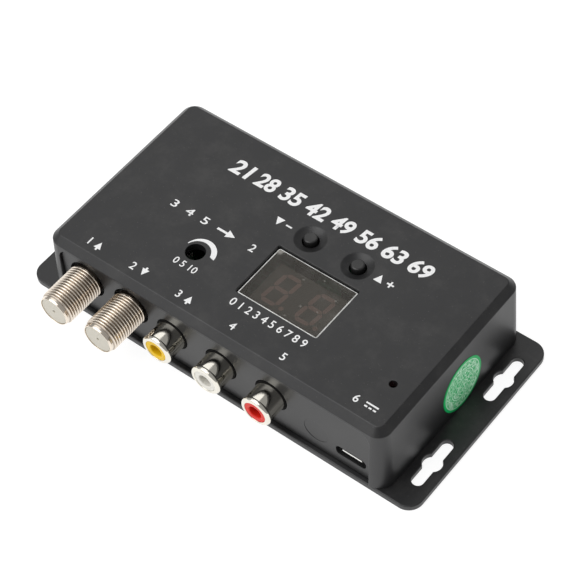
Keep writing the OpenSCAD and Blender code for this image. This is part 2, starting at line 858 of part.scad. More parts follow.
module rca_housing_video() { rca_housing(av_xs[0]); }
module rca_housing_left() { rca_housing(av_xs[1]); }
module rca_housing_right() { rca_housing(av_xs[2]); }
module rca_shell_video() { rca_shell(av_xs[0]); }
module rca_shell_left() { rca_shell(av_xs[1]); }
module rca_shell_right() { rca_shell(av_xs[2]); }
module rca_insulator_video() { rca_insulator(av_xs[0], [0.85, 0.65, 0.12]); }
module rca_insulator_left() { rca_insulator(av_xs[1], [0.85, 0.85, 0.82]); }
module rca_insulator_right() { rca_insulator(av_xs[2], [0.78, 0.1, 0.07]); }
module rca_contact_video() { rca_contact(av_xs[0]); }
module rca_contact_left() { rca_contact(av_xs[1]); }
module rca_contact_right() { rca_contact(av_xs[2]); }

module usb_shell() {
  inner_l = usb_shell_l - 2 * usb_shell_t;
  inner_h = usb_shell_h - 2 * usb_shell_t;
  lip_depth = usb_shell_sink - usb_lip_sink;
  color([0.75, 0.75, 0.74])
    facing_front(usb_x + usb_shift, usb_back_y, usb_z) {
      difference() {
        linear_extrude(usb_shell_depth) rounded_rect(usb_shell_l, usb_shell_h, usb_shell_r);
        translate([0, 0, usb_shell_t])
          linear_extrude(usb_shell_depth) rounded_rect(inner_l, inner_h, usb_shell_r - usb_shell_t);
      }
      translate([0, (usb_shell_h - usb_lip_t) / 2, usb_shell_depth + (lip_depth - bond) / 2])
        cube([usb_lip_l, usb_lip_t, lip_depth + bond], center = true);
    }
}

module usb_tongue() {
  inner_l = usb_shell_l - 2 * usb_shell_t;
  inner_h = usb_shell_h - 2 * usb_shell_t;
  reach = usb_shell_depth - usb_shell_t - usb_tongue_sink;
  color([0.1, 0.1, 0.1])
    facing_front(usb_x + usb_shift, usb_back_y - usb_shell_t, usb_z) {
      linear_extrude(usb_block_depth) rounded_rect(inner_l, inner_h, usb_shell_r - usb_shell_t);
      translate([0, (inner_h - usb_tongue_t) / 2 - usb_tongue_gap, reach / 2])
        cube([usb_tongue_l, usb_tongue_t, reach], center = true);
    }
}

module display_board() {
  color([0.1, 0.36, 0.2])
    difference() {
      translate([window_x - top_board_l / 2, top_board_front_y, top_board_z])
        cube([top_board_l, top_board_back_y - top_board_front_y, board_t]);
      at_spacers() translate([0, 0, top_board_z - cut]) cylinder(h = board_t + 2 * cut, d = board_hole_d);
    }
}

module board_spacers() {
  color([0.85, 0.82, 0.7])
    at_spacers()
      difference() {
        translate([0, 0, board_top]) cylinder(h = spacer_h, d = spacer_d);
        translate([0, 0, board_top - cut]) cylinder(h = spacer_h + 2 * cut, d = board_hole_d);
      }
}

module spacer_screws() {
  color([0.72, 0.72, 0.74])
    at_spacers() translate([0, 0, top_board_top]) small_screw(top_board_top - board_z + nut_h);
}

module spacer_nuts() {
  color([0.72, 0.72, 0.74])
    at_spacers()
      difference() {
        translate([0, 0, board_z - nut_h]) cylinder(h = nut_h, d = nut_width / cos(30), $fn = 6);
        translate([0, 0, board_z - nut_h - cut])
          cylinder(h = nut_h + 2 * cut, d = small_screw_d + 2 * small_screw_play);
      }
}

// The places of the plug row's pins
module at_pins() {
  for (i = [0 : pin_count - 1])
    translate([window_x + (i - (pin_count - 1) / 2) * pin_pitch, button_y, 0]) children();
}

module header_block() {
  color([0.1, 0.1, 0.1])
    difference() {
      translate([window_x, button_y, board_top + header_h / 2])
        cube([pin_count * pin_pitch, header_w, header_h], center = true);
      at_pins()
        translate([0, 0, board_top + header_h / 2]) cube([pin_w, pin_w, header_h + cut], center = true);
    }
}

module header_pins() {
  color([0.8, 0.66, 0.34])
    at_pins() translate([0, 0, board_top + spacer_h / 2]) cube([pin_w, pin_w, spacer_h], center = true);
}

// One bar of a digit, lying along X, with pointed ends
module segment_bar(l) {
  half = segment_w / 2;
  tip = l / 2 - segment_gap;
  polygon([[-tip, 0], [half - tip, half], [tip - half, half], [tip, 0], [tip - half, -half],
    [half - tip, -half]]);
}

// The seven bars of one digit, leaning to the right
module digit() {
  w = digit_h * digit_share - segment_w;
  h = (digit_h - segment_w) / 2;
  multmatrix([[1, tan(digit_lean), 0, 0], [0, 1, 0, 0], [0, 0, 1, 0], [0, 0, 0, 1]]) {
    for (j = [-1 : 1]) translate([0, j * h]) segment_bar(w);
    for (sx = [-1, 1], j = [-1, 1]) translate([sx * w / 2, j * h / 2]) rotate(90) segment_bar(h);
  }
}

// Both digits and their dots, as flat shapes
module digits() {
  dot_x = digit_h * (digit_share - tan(digit_lean)) / 2 + dot_gap + dot_d / 2;
  for (sx = [-1, 1]) translate([sx * digit_pitch / 2, 0]) {
    digit();
    translate([dot_x, (dot_d - digit_h) / 2]) circle(d = dot_d);
  }
}

module display_module() {
  color([0.12, 0.11, 0.1])
    difference() {
      translate([window_x, window_y, display_z - display_h / 2])
        cube([display_l, display_w, display_h], center = true);
      translate([window_x, window_y, display_z - segment_t]) linear_extrude(segment_t + cut) digits();
    }
}

module display_segments() {
  color([0.3, 0.27, 0.24])
    translate([window_x, window_y, display_z - segment_t]) linear_extrude(segment_t) digits();
}

// The moulded base of a push switch, hollow for the stem's flange
module switch_body(x) {
  color([0.1, 0.1, 0.1])
    translate([x, button_y, top_board_top])
      difference() {
        translate([0, 0, (switch_h - switch_plate_t) / 2])
          cube([switch_w, switch_w, switch_h - switch_plate_t], center = true);
        translate([0, 0, switch_floor]) cylinder(h = switch_h, r = switch_room_r);
      }
}

module switch_plate(x) {
  color([0.75, 0.75, 0.74])
    translate([x, button_y, top_board_top + switch_h - switch_plate_t])
      difference() {
        translate([0, 0, switch_plate_t / 2]) cube([switch_w, switch_w, switch_plate_t], center = true);
        translate([0, 0, -cut]) cylinder(h = switch_plate_t + 2 * cut, r = stem_d / 2 + switch_bore_play);
      }
}

module snap_dome(x) {
  color([0.8, 0.78, 0.7])
    translate([x, button_y, top_board_top + switch_floor])
      difference() {
        cylinder(h = dome_h, r1 = dome_r, r2 = dome_crown_r);
        translate([0, 0, -dome_t]) cylinder(h = dome_h, r1 = dome_r, r2 = dome_crown_r);
      }
}

module switch_stem(x) {
  flange_z = top_board_top + switch_h - switch_plate_t - stem_rest_gap - stem_flange_h;
  tip_z = case_h + stem_proud;
  color([0.1, 0.1, 0.1])
    translate([x, button_y, flange_z]) {
      translate([0, 0, -stem_nub_h]) cylinder(h = stem_nub_h + stem_flange_h / 2, r = stem_nub_r);
      cylinder(h = stem_flange_h, r = stem_flange_r);
      cylinder(h = tip_z - flange_z - stem_edge, d = stem_d);
      translate([0, 0, tip_z - flange_z - stem_edge])
        cylinder(h = stem_edge, d1 = stem_d, d2 = stem_d - 2 * stem_edge);
    }
}

module switch_body_down() { switch_body(button_xs[0]); }
module switch_body_up() { switch_body(button_xs[1]); }
module switch_plate_down() { switch_plate(button_xs[0]); }
module switch_plate_up() { switch_plate(button_xs[1]); }
module snap_dome_down() { snap_dome(button_xs[0]); }
module snap_dome_up() { snap_dome(button_xs[1]); }
module switch_stem_down() { switch_stem(button_xs[0]); }
module switch_stem_up() { switch_stem(button_xs[1]); }

module trimmer_body() {
  color([0.16, 0.3, 0.6])
    translate([adjuster_x, adjuster_y, board_top])
      difference() {
        translate([0, 0, trimmer_h / 2]) cube([trimmer_w, trimmer_w, trimmer_h], center = true);
        translate([0, 0, trimmer_h - rotor_shaft_l - rotor_gap])
          cylinder(h = rotor_shaft_l + rotor_gap + cut, r = rotor_shaft_r + rotor_shaft_play);
      }
}

module trimmer_rotor() {
  color([0.85, 0.85, 0.8])
    translate([adjuster_x, adjuster_y, board_top + trimmer_h + rotor_gap])
      difference() {
        union() {
          cylinder(h = rotor_h, d = rotor_d);
          translate([0, 0, -rotor_shaft_l]) cylinder(h = rotor_shaft_l + rotor_h / 2, r = rotor_shaft_r);
        }
        translate([0, 0, rotor_h]) cube([rotor_d + cut, rotor_slot_w, 2 * rotor_slot_depth], center = true);
      }
}

module pilot_led() {
  color([0.75, 0.2, 0.15])
    translate([lamp_x, lamp_y, lamp_z]) {
      cylinder(h = lamp_flange_h, d = lamp_flange_d);
      cylinder(h = lamp_h - lamp_d / 2, d = lamp_d);
      translate([0, 0, lamp_h - lamp_d / 2]) sphere(d = lamp_d);
    }
}

module led_leads() {
  color([0.75, 0.75, 0.74])
    for (sx = [-1, 1])
      translate([lamp_x + sx * lead_pitch / 2, lamp_y, (board_top + lamp_z) / 2])
        cube([lead_w, lead_w, lamp_z - board_top], center = true);
}

// One row of gull-wing pins along X, at the side sy of a package of width w
module pin_row(count, pitch, w, sy, pin_w_) {
  for (i = [0 : count - 1])
    translate([(i - (count - 1) / 2) * pitch, sy * w / 2, 0]) {
      translate([0, sy * ic_pin_reach / 2, ic_pin_t / 2])
        cube([pin_w_, ic_pin_reach, ic_pin_t], center = true);
      translate([0, sy * ic_pin_t / 2, ic_h * ic_pin_level_share / 2])
        cube([pin_w_, ic_pin_t, ic_h * ic_pin_level_share], center = true);
    }
}

module modulator_ic() {
  color([0.08, 0.08, 0.08])
    translate([can_x - can_l / 2 + can_t + ic_wall_gap + ic_l / 2, panel_y + ic_behind_panel, board_top]) {
      translate([0, 0, ic_foot + (ic_h - ic_foot) / 2]) cube([ic_l, ic_w, ic_h - ic_foot], center = true);
      for (sy = [-1, 1]) pin_row(ic_pins, ic_pitch, ic_w, sy, ic_pin_w);
    }
}

module controller_ic() {
  color([0.08, 0.08, 0.08])
    translate([window_x, panel_y + control_back, board_top]) {
      translate([0, 0, ic_foot + (control_h - ic_foot) / 2])
        cube([control_w, control_w, control_h - ic_foot], center = true);
      for (turn = [0, 90], sy = [-1, 1])
        rotate(turn) pin_row(control_pins, control_pitch, control_w, sy, control_pin_w);
    }
}

module regulator() {
  color([0.08, 0.08, 0.08])
    translate([right_x - regulator_offset, panel_y + regulator_behind_panel, board_top]) {
      translate([0, 0, regulator_h / 2]) cube([regulator_l, regulator_w, regulator_h], center = true);
      translate([0, regulator_w / 2 + ic_pin_reach / 2, ic_pin_t / 2])
        cube([regulator_l / 2, ic_pin_reach, ic_pin_t], center = true);
      pin_row(3, regulator_l / 3, regulator_w, -1, 2 * ic_pin_w);
    }
}

module crystal() {
  color([0.78, 0.78, 0.77])
    translate([left_x + crystal_offset, panel_y + crystal_behind_panel, board_top])
      linear_extrude(crystal_h) {
        square([crystal_l - crystal_w, crystal_w], center = true);
        for (sx = [-1, 1]) translate([sx * (crystal_l - crystal_w) / 2, 0]) circle(d = crystal_w);
      }
}

// One upright can capacitor with its crimp ring and rounded rim
module capacitor() {
  r = can_capacitor_r;
  low = capacitor_crimp_h;
  outline = [[0, 0], [r, 0], [r, low - capacitor_crimp], [r - capacitor_crimp, low],
    [r, low + capacitor_crimp], [r, can_capacitor_h - capacitor_edge],
    [r - capacitor_edge, can_capacitor_h], [0, can_capacitor_h]];
  rotate_extrude() polygon(outline);
}

module filter_capacitors() {
  color([0.2, 0.2, 0.24])
    for (x = [left_x + capacitor_left_offset,
        window_x + top_board_l / 2 + capacitor_board_gap + can_capacitor_r], i = [0, 1])
      translate([x, board_back_y - capacitor_back_inset - i * capacitor_pitch, board_top]) capacitor();
}

// Two wound drum cores inside the shielding can
module rf_coils() {
  outline = [[0, 0], [coil_r, 0], [coil_r, coil_flange], [coil_r - coil_waist, coil_flange],
    [coil_r - coil_waist, coil_h - coil_flange], [coil_r, coil_h - coil_flange],
    [coil_r, coil_h], [0, coil_h]];
  color([0.7, 0.4, 0.2])
    for (back = [coil_near_back, coil_far_back])
      translate([can_x + can_l / 2 - can_t - coil_wall_gap - coil_r, panel_y + back, board_top])
        rotate_extrude() polygon(outline);
}

module choke() {
  color([0.2, 0.2, 0.2])
    translate([column_x - choke_column_gap, (column_front_y + column_back_y) / 2, board_top])
      linear_extrude(choke_h) rounded_rect(choke_w, choke_w, choke_w / 6);
}

module chip_parts() {
  color([0.2, 0.18, 0.16])
    for (i = [0 : chip_columns - 1], j = [0 : chip_rows - 1])
      translate([left_x + chip_left_offset + i * chip_pitch_x,
          board_back_y - chip_back_inset - j * chip_pitch_y, board_top + chip_h / 2])
        cube([chip_l, chip_w, chip_h], center = true);
}

// The round sticker, lying on the drafted right end of the cover
module inspection_sticker() {
  color([0.1, 0.66, 0.36])
    translate([right_x, sticker_back, plate_t])
      rotate([0, -draft, 0])
        translate([0, 0, sticker_h / cos(draft)])
          rotate([0, 90, 0]) cylinder(h = sticker_t, d = sticker_d);
}

base_plate();
case_cover();
front_panel();
display_window();
case_screws();
main_board();
board_screws();
shield_frame();
shield_lid();
f_barrel_in();
f_insulator_in();
f_contact_in();
f_barrel_out();
f_insulator_out();
f_contact_out();
rca_housing_video();
rca_shell_video();
rca_insulator_video();
rca_contact_video();
rca_housing_left();
rca_shell_left();
rca_insulator_left();
rca_contact_left();
rca_housing_right();
rca_shell_right();
rca_insulator_right();
rca_contact_right();
usb_shell();
usb_tongue();
display_board();
board_spacers();
spacer_screws();
spacer_nuts();
header_block();
header_pins();
display_module();
display_segments();
switch_body_down();
switch_plate_down();
snap_dome_down();
switch_stem_down();
switch_body_up();
switch_plate_up();
snap_dome_up();
switch_stem_up();
trimmer_body();
trimmer_rotor();
pilot_led();
led_leads();
modulator_ic();
controller_ic();
regulator();
crystal();
filter_capacitors();
rf_coils();
choke();
chip_parts();
inspection_sticker();
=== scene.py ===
# RF modulator: the shaped pieces, their finishes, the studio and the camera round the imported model.
# Shapes are built in millimetres in the part's own frame and brought to metres when they are placed.
import json
from math import acos, asin, atan, atan2, cos, degrees, pi, radians, sin, sqrt, tan

import bmesh
import bpy
from mathutils import Matrix, Vector


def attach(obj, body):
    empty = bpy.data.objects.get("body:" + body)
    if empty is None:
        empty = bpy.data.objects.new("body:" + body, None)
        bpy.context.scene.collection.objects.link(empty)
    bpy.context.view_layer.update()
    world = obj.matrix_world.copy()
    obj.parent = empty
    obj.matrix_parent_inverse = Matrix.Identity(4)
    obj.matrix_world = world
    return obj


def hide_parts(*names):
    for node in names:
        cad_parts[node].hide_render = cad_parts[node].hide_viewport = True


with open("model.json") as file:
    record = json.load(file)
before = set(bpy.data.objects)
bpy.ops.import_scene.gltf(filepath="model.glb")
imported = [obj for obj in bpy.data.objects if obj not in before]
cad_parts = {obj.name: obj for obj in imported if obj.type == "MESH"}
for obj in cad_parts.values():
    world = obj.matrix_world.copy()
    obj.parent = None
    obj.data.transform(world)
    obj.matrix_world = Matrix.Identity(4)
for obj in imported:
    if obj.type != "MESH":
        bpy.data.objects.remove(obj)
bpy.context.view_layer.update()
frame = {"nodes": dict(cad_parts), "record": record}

MM = 0.001

# Plate, with the rim that locates the cover and the posts that carry the board
PLATE_L, PLATE_W, PLATE_T, PLATE_R, PLATE_EDGE = 118.7, 57.0, 1.8, 4.0, 0.28
SLOT_X, SLOT_Y, SLOT_W, SLOT_L, SLOT_EYE_R = 55.1, 14.7, 3.1, 14.8, 2.5
RIM_T, RIM_H, RIM_CORNER_R = 1.2, 1.6, 0.3
POST_XS, POST_YS, POST_R, POST_BORE_R = (-37.4, 37.4), (-3.2, 20.3), 2.75, 1.05
BOARD_BOTTOM, BOARD_FRONT_Y = 3.8, -24.6

# Cover, with the columns that take its screws and the guides that hold the panel
COVER_X, COVER_Y, COVER_R, BEVEL = 51.3, 28.7, 4.4, 1.85
TOP_Z, CEILING_Z, SHOULDER_Z = 23.4, 21.2, 21.55
DRAFT = tan(radians(2.5))
CAVITY_X, CAVITY_Y, CAVITY_R = 48.9, 26.3, 0.6
COLUMN_X, COLUMN_YS, COLUMN_R, COLUMN_WEB = 45.3, (-4.5, 22.7), 3.0, 0.8
PILOT_R, PILOT_TOP = 1.3, 10.2
GUIDE_X, GUIDE_Y, GUIDE_IN, GUIDE_LOW = 1.25, 0.6, 0.95, 7.4
OPEN_X, OPEN_LOW, OPEN_Z, OPEN_R = 46.8, 0.8, 20.5, 3.0
SLIP = 0.15
BITE = 0.3
OVERCUT = 1

# Socket panel
PANEL_Y, PANEL_SEAT_Y, PANEL_BACK_Y = -27.3, -26.3, -24.9
AERIALS = {"in": -39.0, "out": -24.95}
AERIAL_Z, AERIAL_HOLE_R = 13.6, 5.3
PHONOS = {"video": -12.2, "left": 2.85, "right": 17.9}
PHONO_Z, PHONO_HOLE_R = 12.3, 4.65
POWER, POWER_SLOT = (40.95, 6.675), (4.3, 1.55, 1.3)
KNOCKOUT = (31.0, 8.9, 3.5, 0.1)

# What is set into the top and the right end
WINDOW, WINDOW_X, WINDOW_Y, WINDOW_R, WINDOW_PLAY, WINDOW_TOP = (9.75, -5.9), 12.0, 8.5, 0.5, 0.25, 22.7
BUTTONS = {"down": 2.7, "up": 16.8}
BUTTON_Y, DISH_R, DISH_DEPTH, STEM_HOLE_R = 8.4, 4.1, 1.1, 2.15
ADJUSTER, LAMP = (-17.3, -10.85, 2.5), (43.65, -14.3, 1.0)
ROTOR_TOP = 11.0
STICKER = (3.0, 9.6, 7.6)


# Shapes

def new_object(name, data):
    piece = bpy.data.objects.new(name, data)
    bpy.context.scene.collection.objects.link(piece)
    return piece


def settle(piece):
    """Makes what the modifiers show the piece's own mesh."""
    bpy.context.view_layer.update()
    graph = bpy.context.evaluated_depsgraph_get()
    mesh = bpy.data.meshes.new_from_object(
        piece.evaluated_get(graph), preserve_all_data_layers=True, depsgraph=graph)
    name = piece.name
    if piece.type != "MESH":
        bpy.data.objects.remove(piece)
        return new_object(name, mesh)
    piece.modifiers.clear()
    piece.data = mesh
    return piece


def tidy_mesh(piece, gap=1e-4):
    """Merges double points, unless the gap is 0, and turns the faces outwards."""
    shape = bmesh.new()
    shape.from_mesh(piece.data)
    if gap:
        bmesh.ops.remove_doubles(shape, verts=shape.verts, dist=gap)
        bmesh.ops.dissolve_degenerate(shape, edges=shape.edges, dist=gap / 10)
    bmesh.ops.recalc_face_normals(shape, faces=shape.faces)
    shape.to_mesh(piece.data)
    shape.free()
    return piece


def solid(name, points, faces, gap=1e-4):
    mesh = bpy.data.meshes.new(name)
    mesh.from_pydata([tuple(p) for p in points], [], faces)
    return tidy_mesh(new_object(name, mesh), gap)


def skin(n, count, ring):
    """The faces between loops of n points each, with the last loop joined to the first in a ring."""
    return [(i * n + k, i * n + (k + 1) % n, (i + 1) % count * n + (k + 1) % n, (i + 1) % count * n + k)
            for i in range(count if ring else count - 1) for k in range(n)]


def loft(name, loops, ring=False, gap=1e-4):
    """A skin over closed loops of equal length, closed at its ends or run round in a ring."""
    n, count = len(loops[0]), len(loops)
    faces = skin(n, count, ring)
    if not ring:
        faces += [tuple(range(n)), tuple(range((count - 1) * n, count * n))]
    return solid(name, [p for loop in loops for p in loop], faces, gap)


def spaced(first, last, steps):
    """Evenly spaced values from the first to the last, with both of them."""
    return [first + (last - first) * i / steps for i in range(steps + 1)]


def polar(r, turn):
    return r * cos(turn), r * sin(turn)


def turned(name, profile, steps):
    """A solid of revolution about Z from [radius, height] pairs."""
    loops = [[(*polar(r, a), h) for a in spaced(0, 2 * pi, steps)[:-1]] for r, h in profile]
    return loft(name, loops, ring=not profile[0][0] == profile[-1][0] == 0)


def level(outline, height):
    """A flat outline as points at one height."""
    return [(x, y, height) for x, y in outline]


def eased(points, radii, steps, closed=False):
    """A flat path whose corners are replaced by arcs of the radii given for them."""
    out = []
    for i, (point, r) in enumerate(zip(points, radii)):
        if r == 0 or (not closed and i in (0, len(points) - 1)):
            out.append(tuple(point))
            continue
        corner = Vector(point)
        a = (Vector(points[i - 1]) - corner).normalized()
        b = (Vector(points[(i + 1) % len(points)]) - corner).normalized()
        half = a.angle(b) / 2
        centre = corner + (a + b).normalized() * (r / sin(half))
        start, end = (corner + side * (r / tan(half)) - centre for side in (a, b))
        out += [tuple(centre + start.slerp(end, k / steps) * r) for k in range(steps + 1)]
    return out


def round_rect(half_x, half_y, r, steps, cx=0.0, cy=0.0):
    out = []
    for sx, sy, first in ((1, 1, 0), (-1, 1, 90), (-1, -1, 180), (1, -1, 270)):
        for turn in spaced(first, first + 90, steps):
            dx, dy = polar(r, radians(turn))
            out.append((cx + sx * (half_x - r) + dx, cy + sy * (half_y - r) + dy))
    return out


def arch(half, low, high, r, foot=0.05):
    """An upright outline with round upper corners."""
    corners = [(half, low), (half, high), (-half, high), (-half, low)]
    return eased(corners, [foot, r, r, foot], 8, closed=True)


def flare(radius):
    """How far an edge opens out, as [growth, depth below the face] pairs from deep to the face."""
    over_out, over_up = 1.2, 0.22
    arc = [(radius * (1 - cos(a)), radius * (1 - sin(a))) for a in spaced(0, radians(80), 4)]
    return arc + [(arc[-1][0] + over_out, arc[-1][1] - over_up)]


def combine(base, tool, how="DIFFERENCE"):
    step = base.modifiers.new("step", "BOOLEAN")
    step.operation, step.object, step.solver = how, tool, "MANIFOLD"
    settle(base)
    bpy.data.objects.remove(tool)


def flat_piece(name, outlines, low, high, edge=0.0):
    """A plate with holes from flat outlines, its edges rounded, between two levels."""
    curve = bpy.data.curves.new(name, "CURVE")
    curve.dimensions, curve.fill_mode = "2D", "BOTH"
    curve.extrude, curve.bevel_depth = (high - low) / 2 - edge, edge
    curve.bevel_resolution, curve.offset = 3, -edge
    for outline in outlines:
        line = curve.splines.new("POLY")
        line.points.add(len(outline) - 1)
        for dot, (x, y) in zip(line.points, outline):
            dot.co = (x, y, 0, 1)
        line.use_cyclic_u = True
    piece = settle(new_object(name, curve))
    return tidy_mesh(moved(piece, at(0, 0, (low + high) / 2)))


def at(x, y, z=0):
    return Matrix.Translation((x, y, z))


def facing_front(x, y, z):
    """Turns a shape so that its +Z points out of the socket panel."""
    return at(x, y, z) @ Matrix.Rotation(pi / 2, 4, "X")


def moved(piece, matrix):
    piece.data.transform(matrix)
    return piece


def on_board(piece, x, z):
    """Faces a socket's piece to the front, with its foot on the board's front edge."""
    return moved(piece, facing_front(x, BOARD_FRONT_Y, z))


def hole_cutter(x, y, r, low, high, edge, steps=64):
    """Cuts a round hole down from the level high, with a rounded edge there."""
    profile = [(0, low), (r, low)] + [(r + g, high - d) for g, d in flare(edge)]
    return moved(turned("cutter", profile + [(0, profile[-1][1])], steps), at(x, y))


def slot_cutter(half_x, half_y, r, steps, centre, low, high, edge):
    """Cuts a round-cornered slot down from the level high, with a rounded edge there."""
    stages = [(0, low)] + [(g, high - d) for g, d in flare(edge)]
    return loft("cutter", [
        level(round_rect(half_x + g, half_y + g, r + g, steps, *centre), z) for g, z in stages])


def shade(piece, angle):
    """Smooth faces with crisp edges, the broad faces kept flat."""
    mesh = piece.data
    mesh.polygons.foreach_set("use_smooth", [True] * len(mesh.polygons))
    mesh.set_sharp_from_angle(angle=radians(angle))
    even = piece.modifiers.new("even", "WEIGHTED_NORMAL")
    even.keep_sharp, even.weight = True, 60
    settle(piece)


def place(piece, slot, *stands_for, body="case", dressed=False, angle=32):
    """Shades a piece, brings it to metres, gives it the finish unless it is dressed, and lets it ride."""
    shade(piece, angle)
    piece.data.transform(Matrix.Scale(MM, 4))
    if not dressed:
        piece.data.materials.clear()
        piece.data.materials.append(FINISHES[slot])
    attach(piece, body)
    if stands_for:
        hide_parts(*stands_for)


# Effects that several finishes share

FLOAT, COLOR = "NodeSocketFloat", "NodeSocketColor"
SURFACE = [("Color", COLOR), ("Height", FLOAT), ("Gloss Shift", FLOAT)]


def node_group(name, inputs, outputs, tree_kind="ShaderNodeTree"):
    """An empty group with its sockets as [name, socket type], and a default for inputs that have one."""
    tree = bpy.data.node_groups.new(name, tree_kind)
    for label, kind, *default in inputs:
        socket = tree.interface.new_socket(label, in_out="INPUT", socket_type=kind)
        if default:
            socket.default_value = default[0]
    for label, kind in outputs:
        tree.interface.new_socket(label, in_out="OUTPUT", socket_type=kind)
    return tree, tree.nodes.new("NodeGroupInput").outputs, tree.nodes.new("NodeGroupOutput").inputs


def node(tree, kind, links=None, **settings):
    """A node with its settings, and its input sockets fed by values or by other sockets."""
    made = tree.nodes.new(kind)
    for key, value in settings.items():
        setattr(made, key, value)
    for key, value in (links or {}).items():
        socket = made.inputs[key]
        if isinstance(value, bpy.types.NodeSocket):
            tree.links.new(value, socket)
        else:
            socket.default_value = value
    return made


def object_spot(tree):
    """The place of a point on its own piece, in metres."""
    return node(tree, "ShaderNodeTexCoord").outputs["Object"]


# The helpers below find the tree from a socket that they are given

def maths(how, *values):
    tree = next(value.id_data for value in values if isinstance(value, bpy.types.NodeSocket))
    return node(tree, "ShaderNodeMath", dict(enumerate(values)), operation=how).outputs[0]


def times(a, b):
    return maths("MULTIPLY", a, b)


def swing(value):
    """A noise value as a swing about nought."""
    return maths("SUBTRACT", value, 0.5)


def ramp(value, low, high, to_low=0.0, to_high=1.0, kind="SMOOTHSTEP"):
    links = {"Value": value, "From Min": low, "From Max": high, "To Min": to_low, "To Max": to_high}
    return node(value.id_data, "ShaderNodeMapRange", links, interpolation_type=kind).outputs["Result"]


def at_least(value, low):
    return node(value.id_data, "ShaderNodeClamp", {"Value": value, "Min": low}).outputs[0]


def mixed(factor, a, b):
    return node(factor.id_data, "ShaderNodeMix", {0: factor, 6: a, 7: b}, data_type="RGBA").outputs[2]


def noise(vector, scale, detail=2.0, rough=0.5):
    links = {"Vector": vector, "Scale": scale, "Detail": detail, "Roughness": rough}
    return node(vector.id_data, "ShaderNodeTexNoise", links).outputs[0]


def hand_on(given, out, tone, height, patches, gloss_swing):
    """Puts out the group's colour scaled by a tone, a height, and a gloss that swings with patches."""
    tree = tone.id_data
    shaded = node(tree, "ShaderNodeVectorMath", {0: given["Color"], "Scale": tone}, operation="SCALE")
    tree.links.new(shaded.outputs[0], out["Color"])
    tree.links.new(height, out["Height"])
    tree.links.new(times(swing(patches), gloss_swing), out["Gloss Shift"])


def moulded_grain_group():
    """Fine pitted grain of moulded plastic, with a slow drift in tone and gloss."""
    tree, given, out = node_group(
        "moulded_grain",
        [("Color", COLOR, (0.5, 0.5, 0.5, 1)), ("Grains per Metre", FLOAT, 4000), ("Drift", FLOAT, 0.1)],
        SURFACE)
    spot = object_spot(tree)
    fine = noise(spot, given["Grains per Metre"], 3.0, 0.6)
    slow = noise(spot, 45.0, 3.0, 0.55)
    specks = noise(spot, 1500.0, 1.0)
    tone = maths("MULTIPLY_ADD", swing(slow), given["Drift"], 1.0)
    tone = maths("MULTIPLY_ADD", swing(fine), given["Drift"], tone)
    tone = maths("ADD", tone, ramp(specks, 0.74, 0.8, 0.0, 0.25))
    hand_on(given, out, tone, fine, slow, 0.18)
    return tree


def edge_rub_group():
    """A mask of the outer edges, where handling has polished the surface."""
    tree, given, out = node_group(
        "edge_rub", [("Reach", FLOAT, 0.0003), ("Amount", FLOAT, 0.5)], [("Mask", FLOAT)])
    eased_normal = node(tree, "ShaderNodeBevel", {"Radius": given["Reach"]}, samples=4).outputs[0]
    facing = node(tree, "ShaderNodeNewGeometry").outputs["Normal"]
    agree = node(tree, "ShaderNodeVectorMath", {0: eased_normal, 1: facing}, operation="DOT_PRODUCT")
    patchy = ramp(noise(object_spot(tree), 900.0, 3.0), 0.35, 0.65, 0.4, 1.0)
    edge = ramp(agree.outputs["Value"], 0.995, 0.93)
    rubbed = times(times(edge, patchy), given["Amount"])
    tree.links.new(rubbed, out["Mask"])
    return tree


def dust_group():
    """A mask of fine dust that lies on what faces upwards."""
    tree, given, out = node_group(
        "dust", [("Cover", FLOAT, 0.3), ("Specks per Metre", FLOAT, 2200)], [("Mask", FLOAT)])
    spot = object_spot(tree)
    normal = node(tree, "ShaderNodeNewGeometry").outputs["Normal"]
    up = node(tree, "ShaderNodeSeparateXYZ", {0: normal}).outputs["Z"]
    cells = node(tree, "ShaderNodeTexVoronoi", {"Vector": spot, "Scale": given["Specks per Metre"]})
    chance = node(tree, "ShaderNodeSeparateColor", {0: cells.outputs["Color"]}).outputs[0]
    near = ramp(cells.outputs["Distance"], 0.3, 0.12)
    chosen = maths("GREATER_THAN", chance, 0.93)
    veil = ramp(noise(spot, 160.0, 4.0, 0.65), 0.42, 0.8, 0.0, 0.35)
    both = maths("MAXIMUM", times(near, chosen), veil)
    lying = times(both, ramp(up, 0.3, 0.9))
    tree.links.new(times(lying, given["Cover"]), out["Mask"])
    return tree


def tool_marks_group():
    """Fine turning marks round an axis along Y, with small blotches, on plated metal."""
    tree, given, out = node_group(
        "tool_marks",
        [("Color", COLOR, (0.7, 0.7, 0.7, 1)), ("Marks per Metre", FLOAT, 9000), ("Blotch", FLOAT, 0.1)],
        SURFACE)
    spot = object_spot(tree)
    squeeze = node(tree, "ShaderNodeMapping", {"Vector": spot, "Scale": (0.04, 1.0, 0.04)}).outputs[0]
    marks = noise(squeeze, given["Marks per Metre"], 2.0)
    blotch = noise(spot, 420.0, 3.0, 0.6)
    tone = maths("MULTIPLY_ADD", swing(blotch), given["Blotch"], 1.0)
    hand_on(given, out, tone, marks, blotch, 0.35)
    return tree


GRAIN, RUB, DUST, MARKS = moulded_grain_group(), edge_rub_group(), dust_group(), tool_marks_group()


# Finishes

def group_in(tree, group, links):
    return node(tree, "ShaderNodeGroup", links, node_tree=group).outputs


def bare_finish(name, constants):
    """A material with its shader, and the values that are the same all over set on the shader."""
    material = bpy.data.materials.new(name)
    material.use_nodes = True
    tree = material.node_tree
    shader = tree.nodes["Principled BSDF"]
    for key, value in constants.items():
        shader.inputs[key].default_value = value
    return material, tree, shader


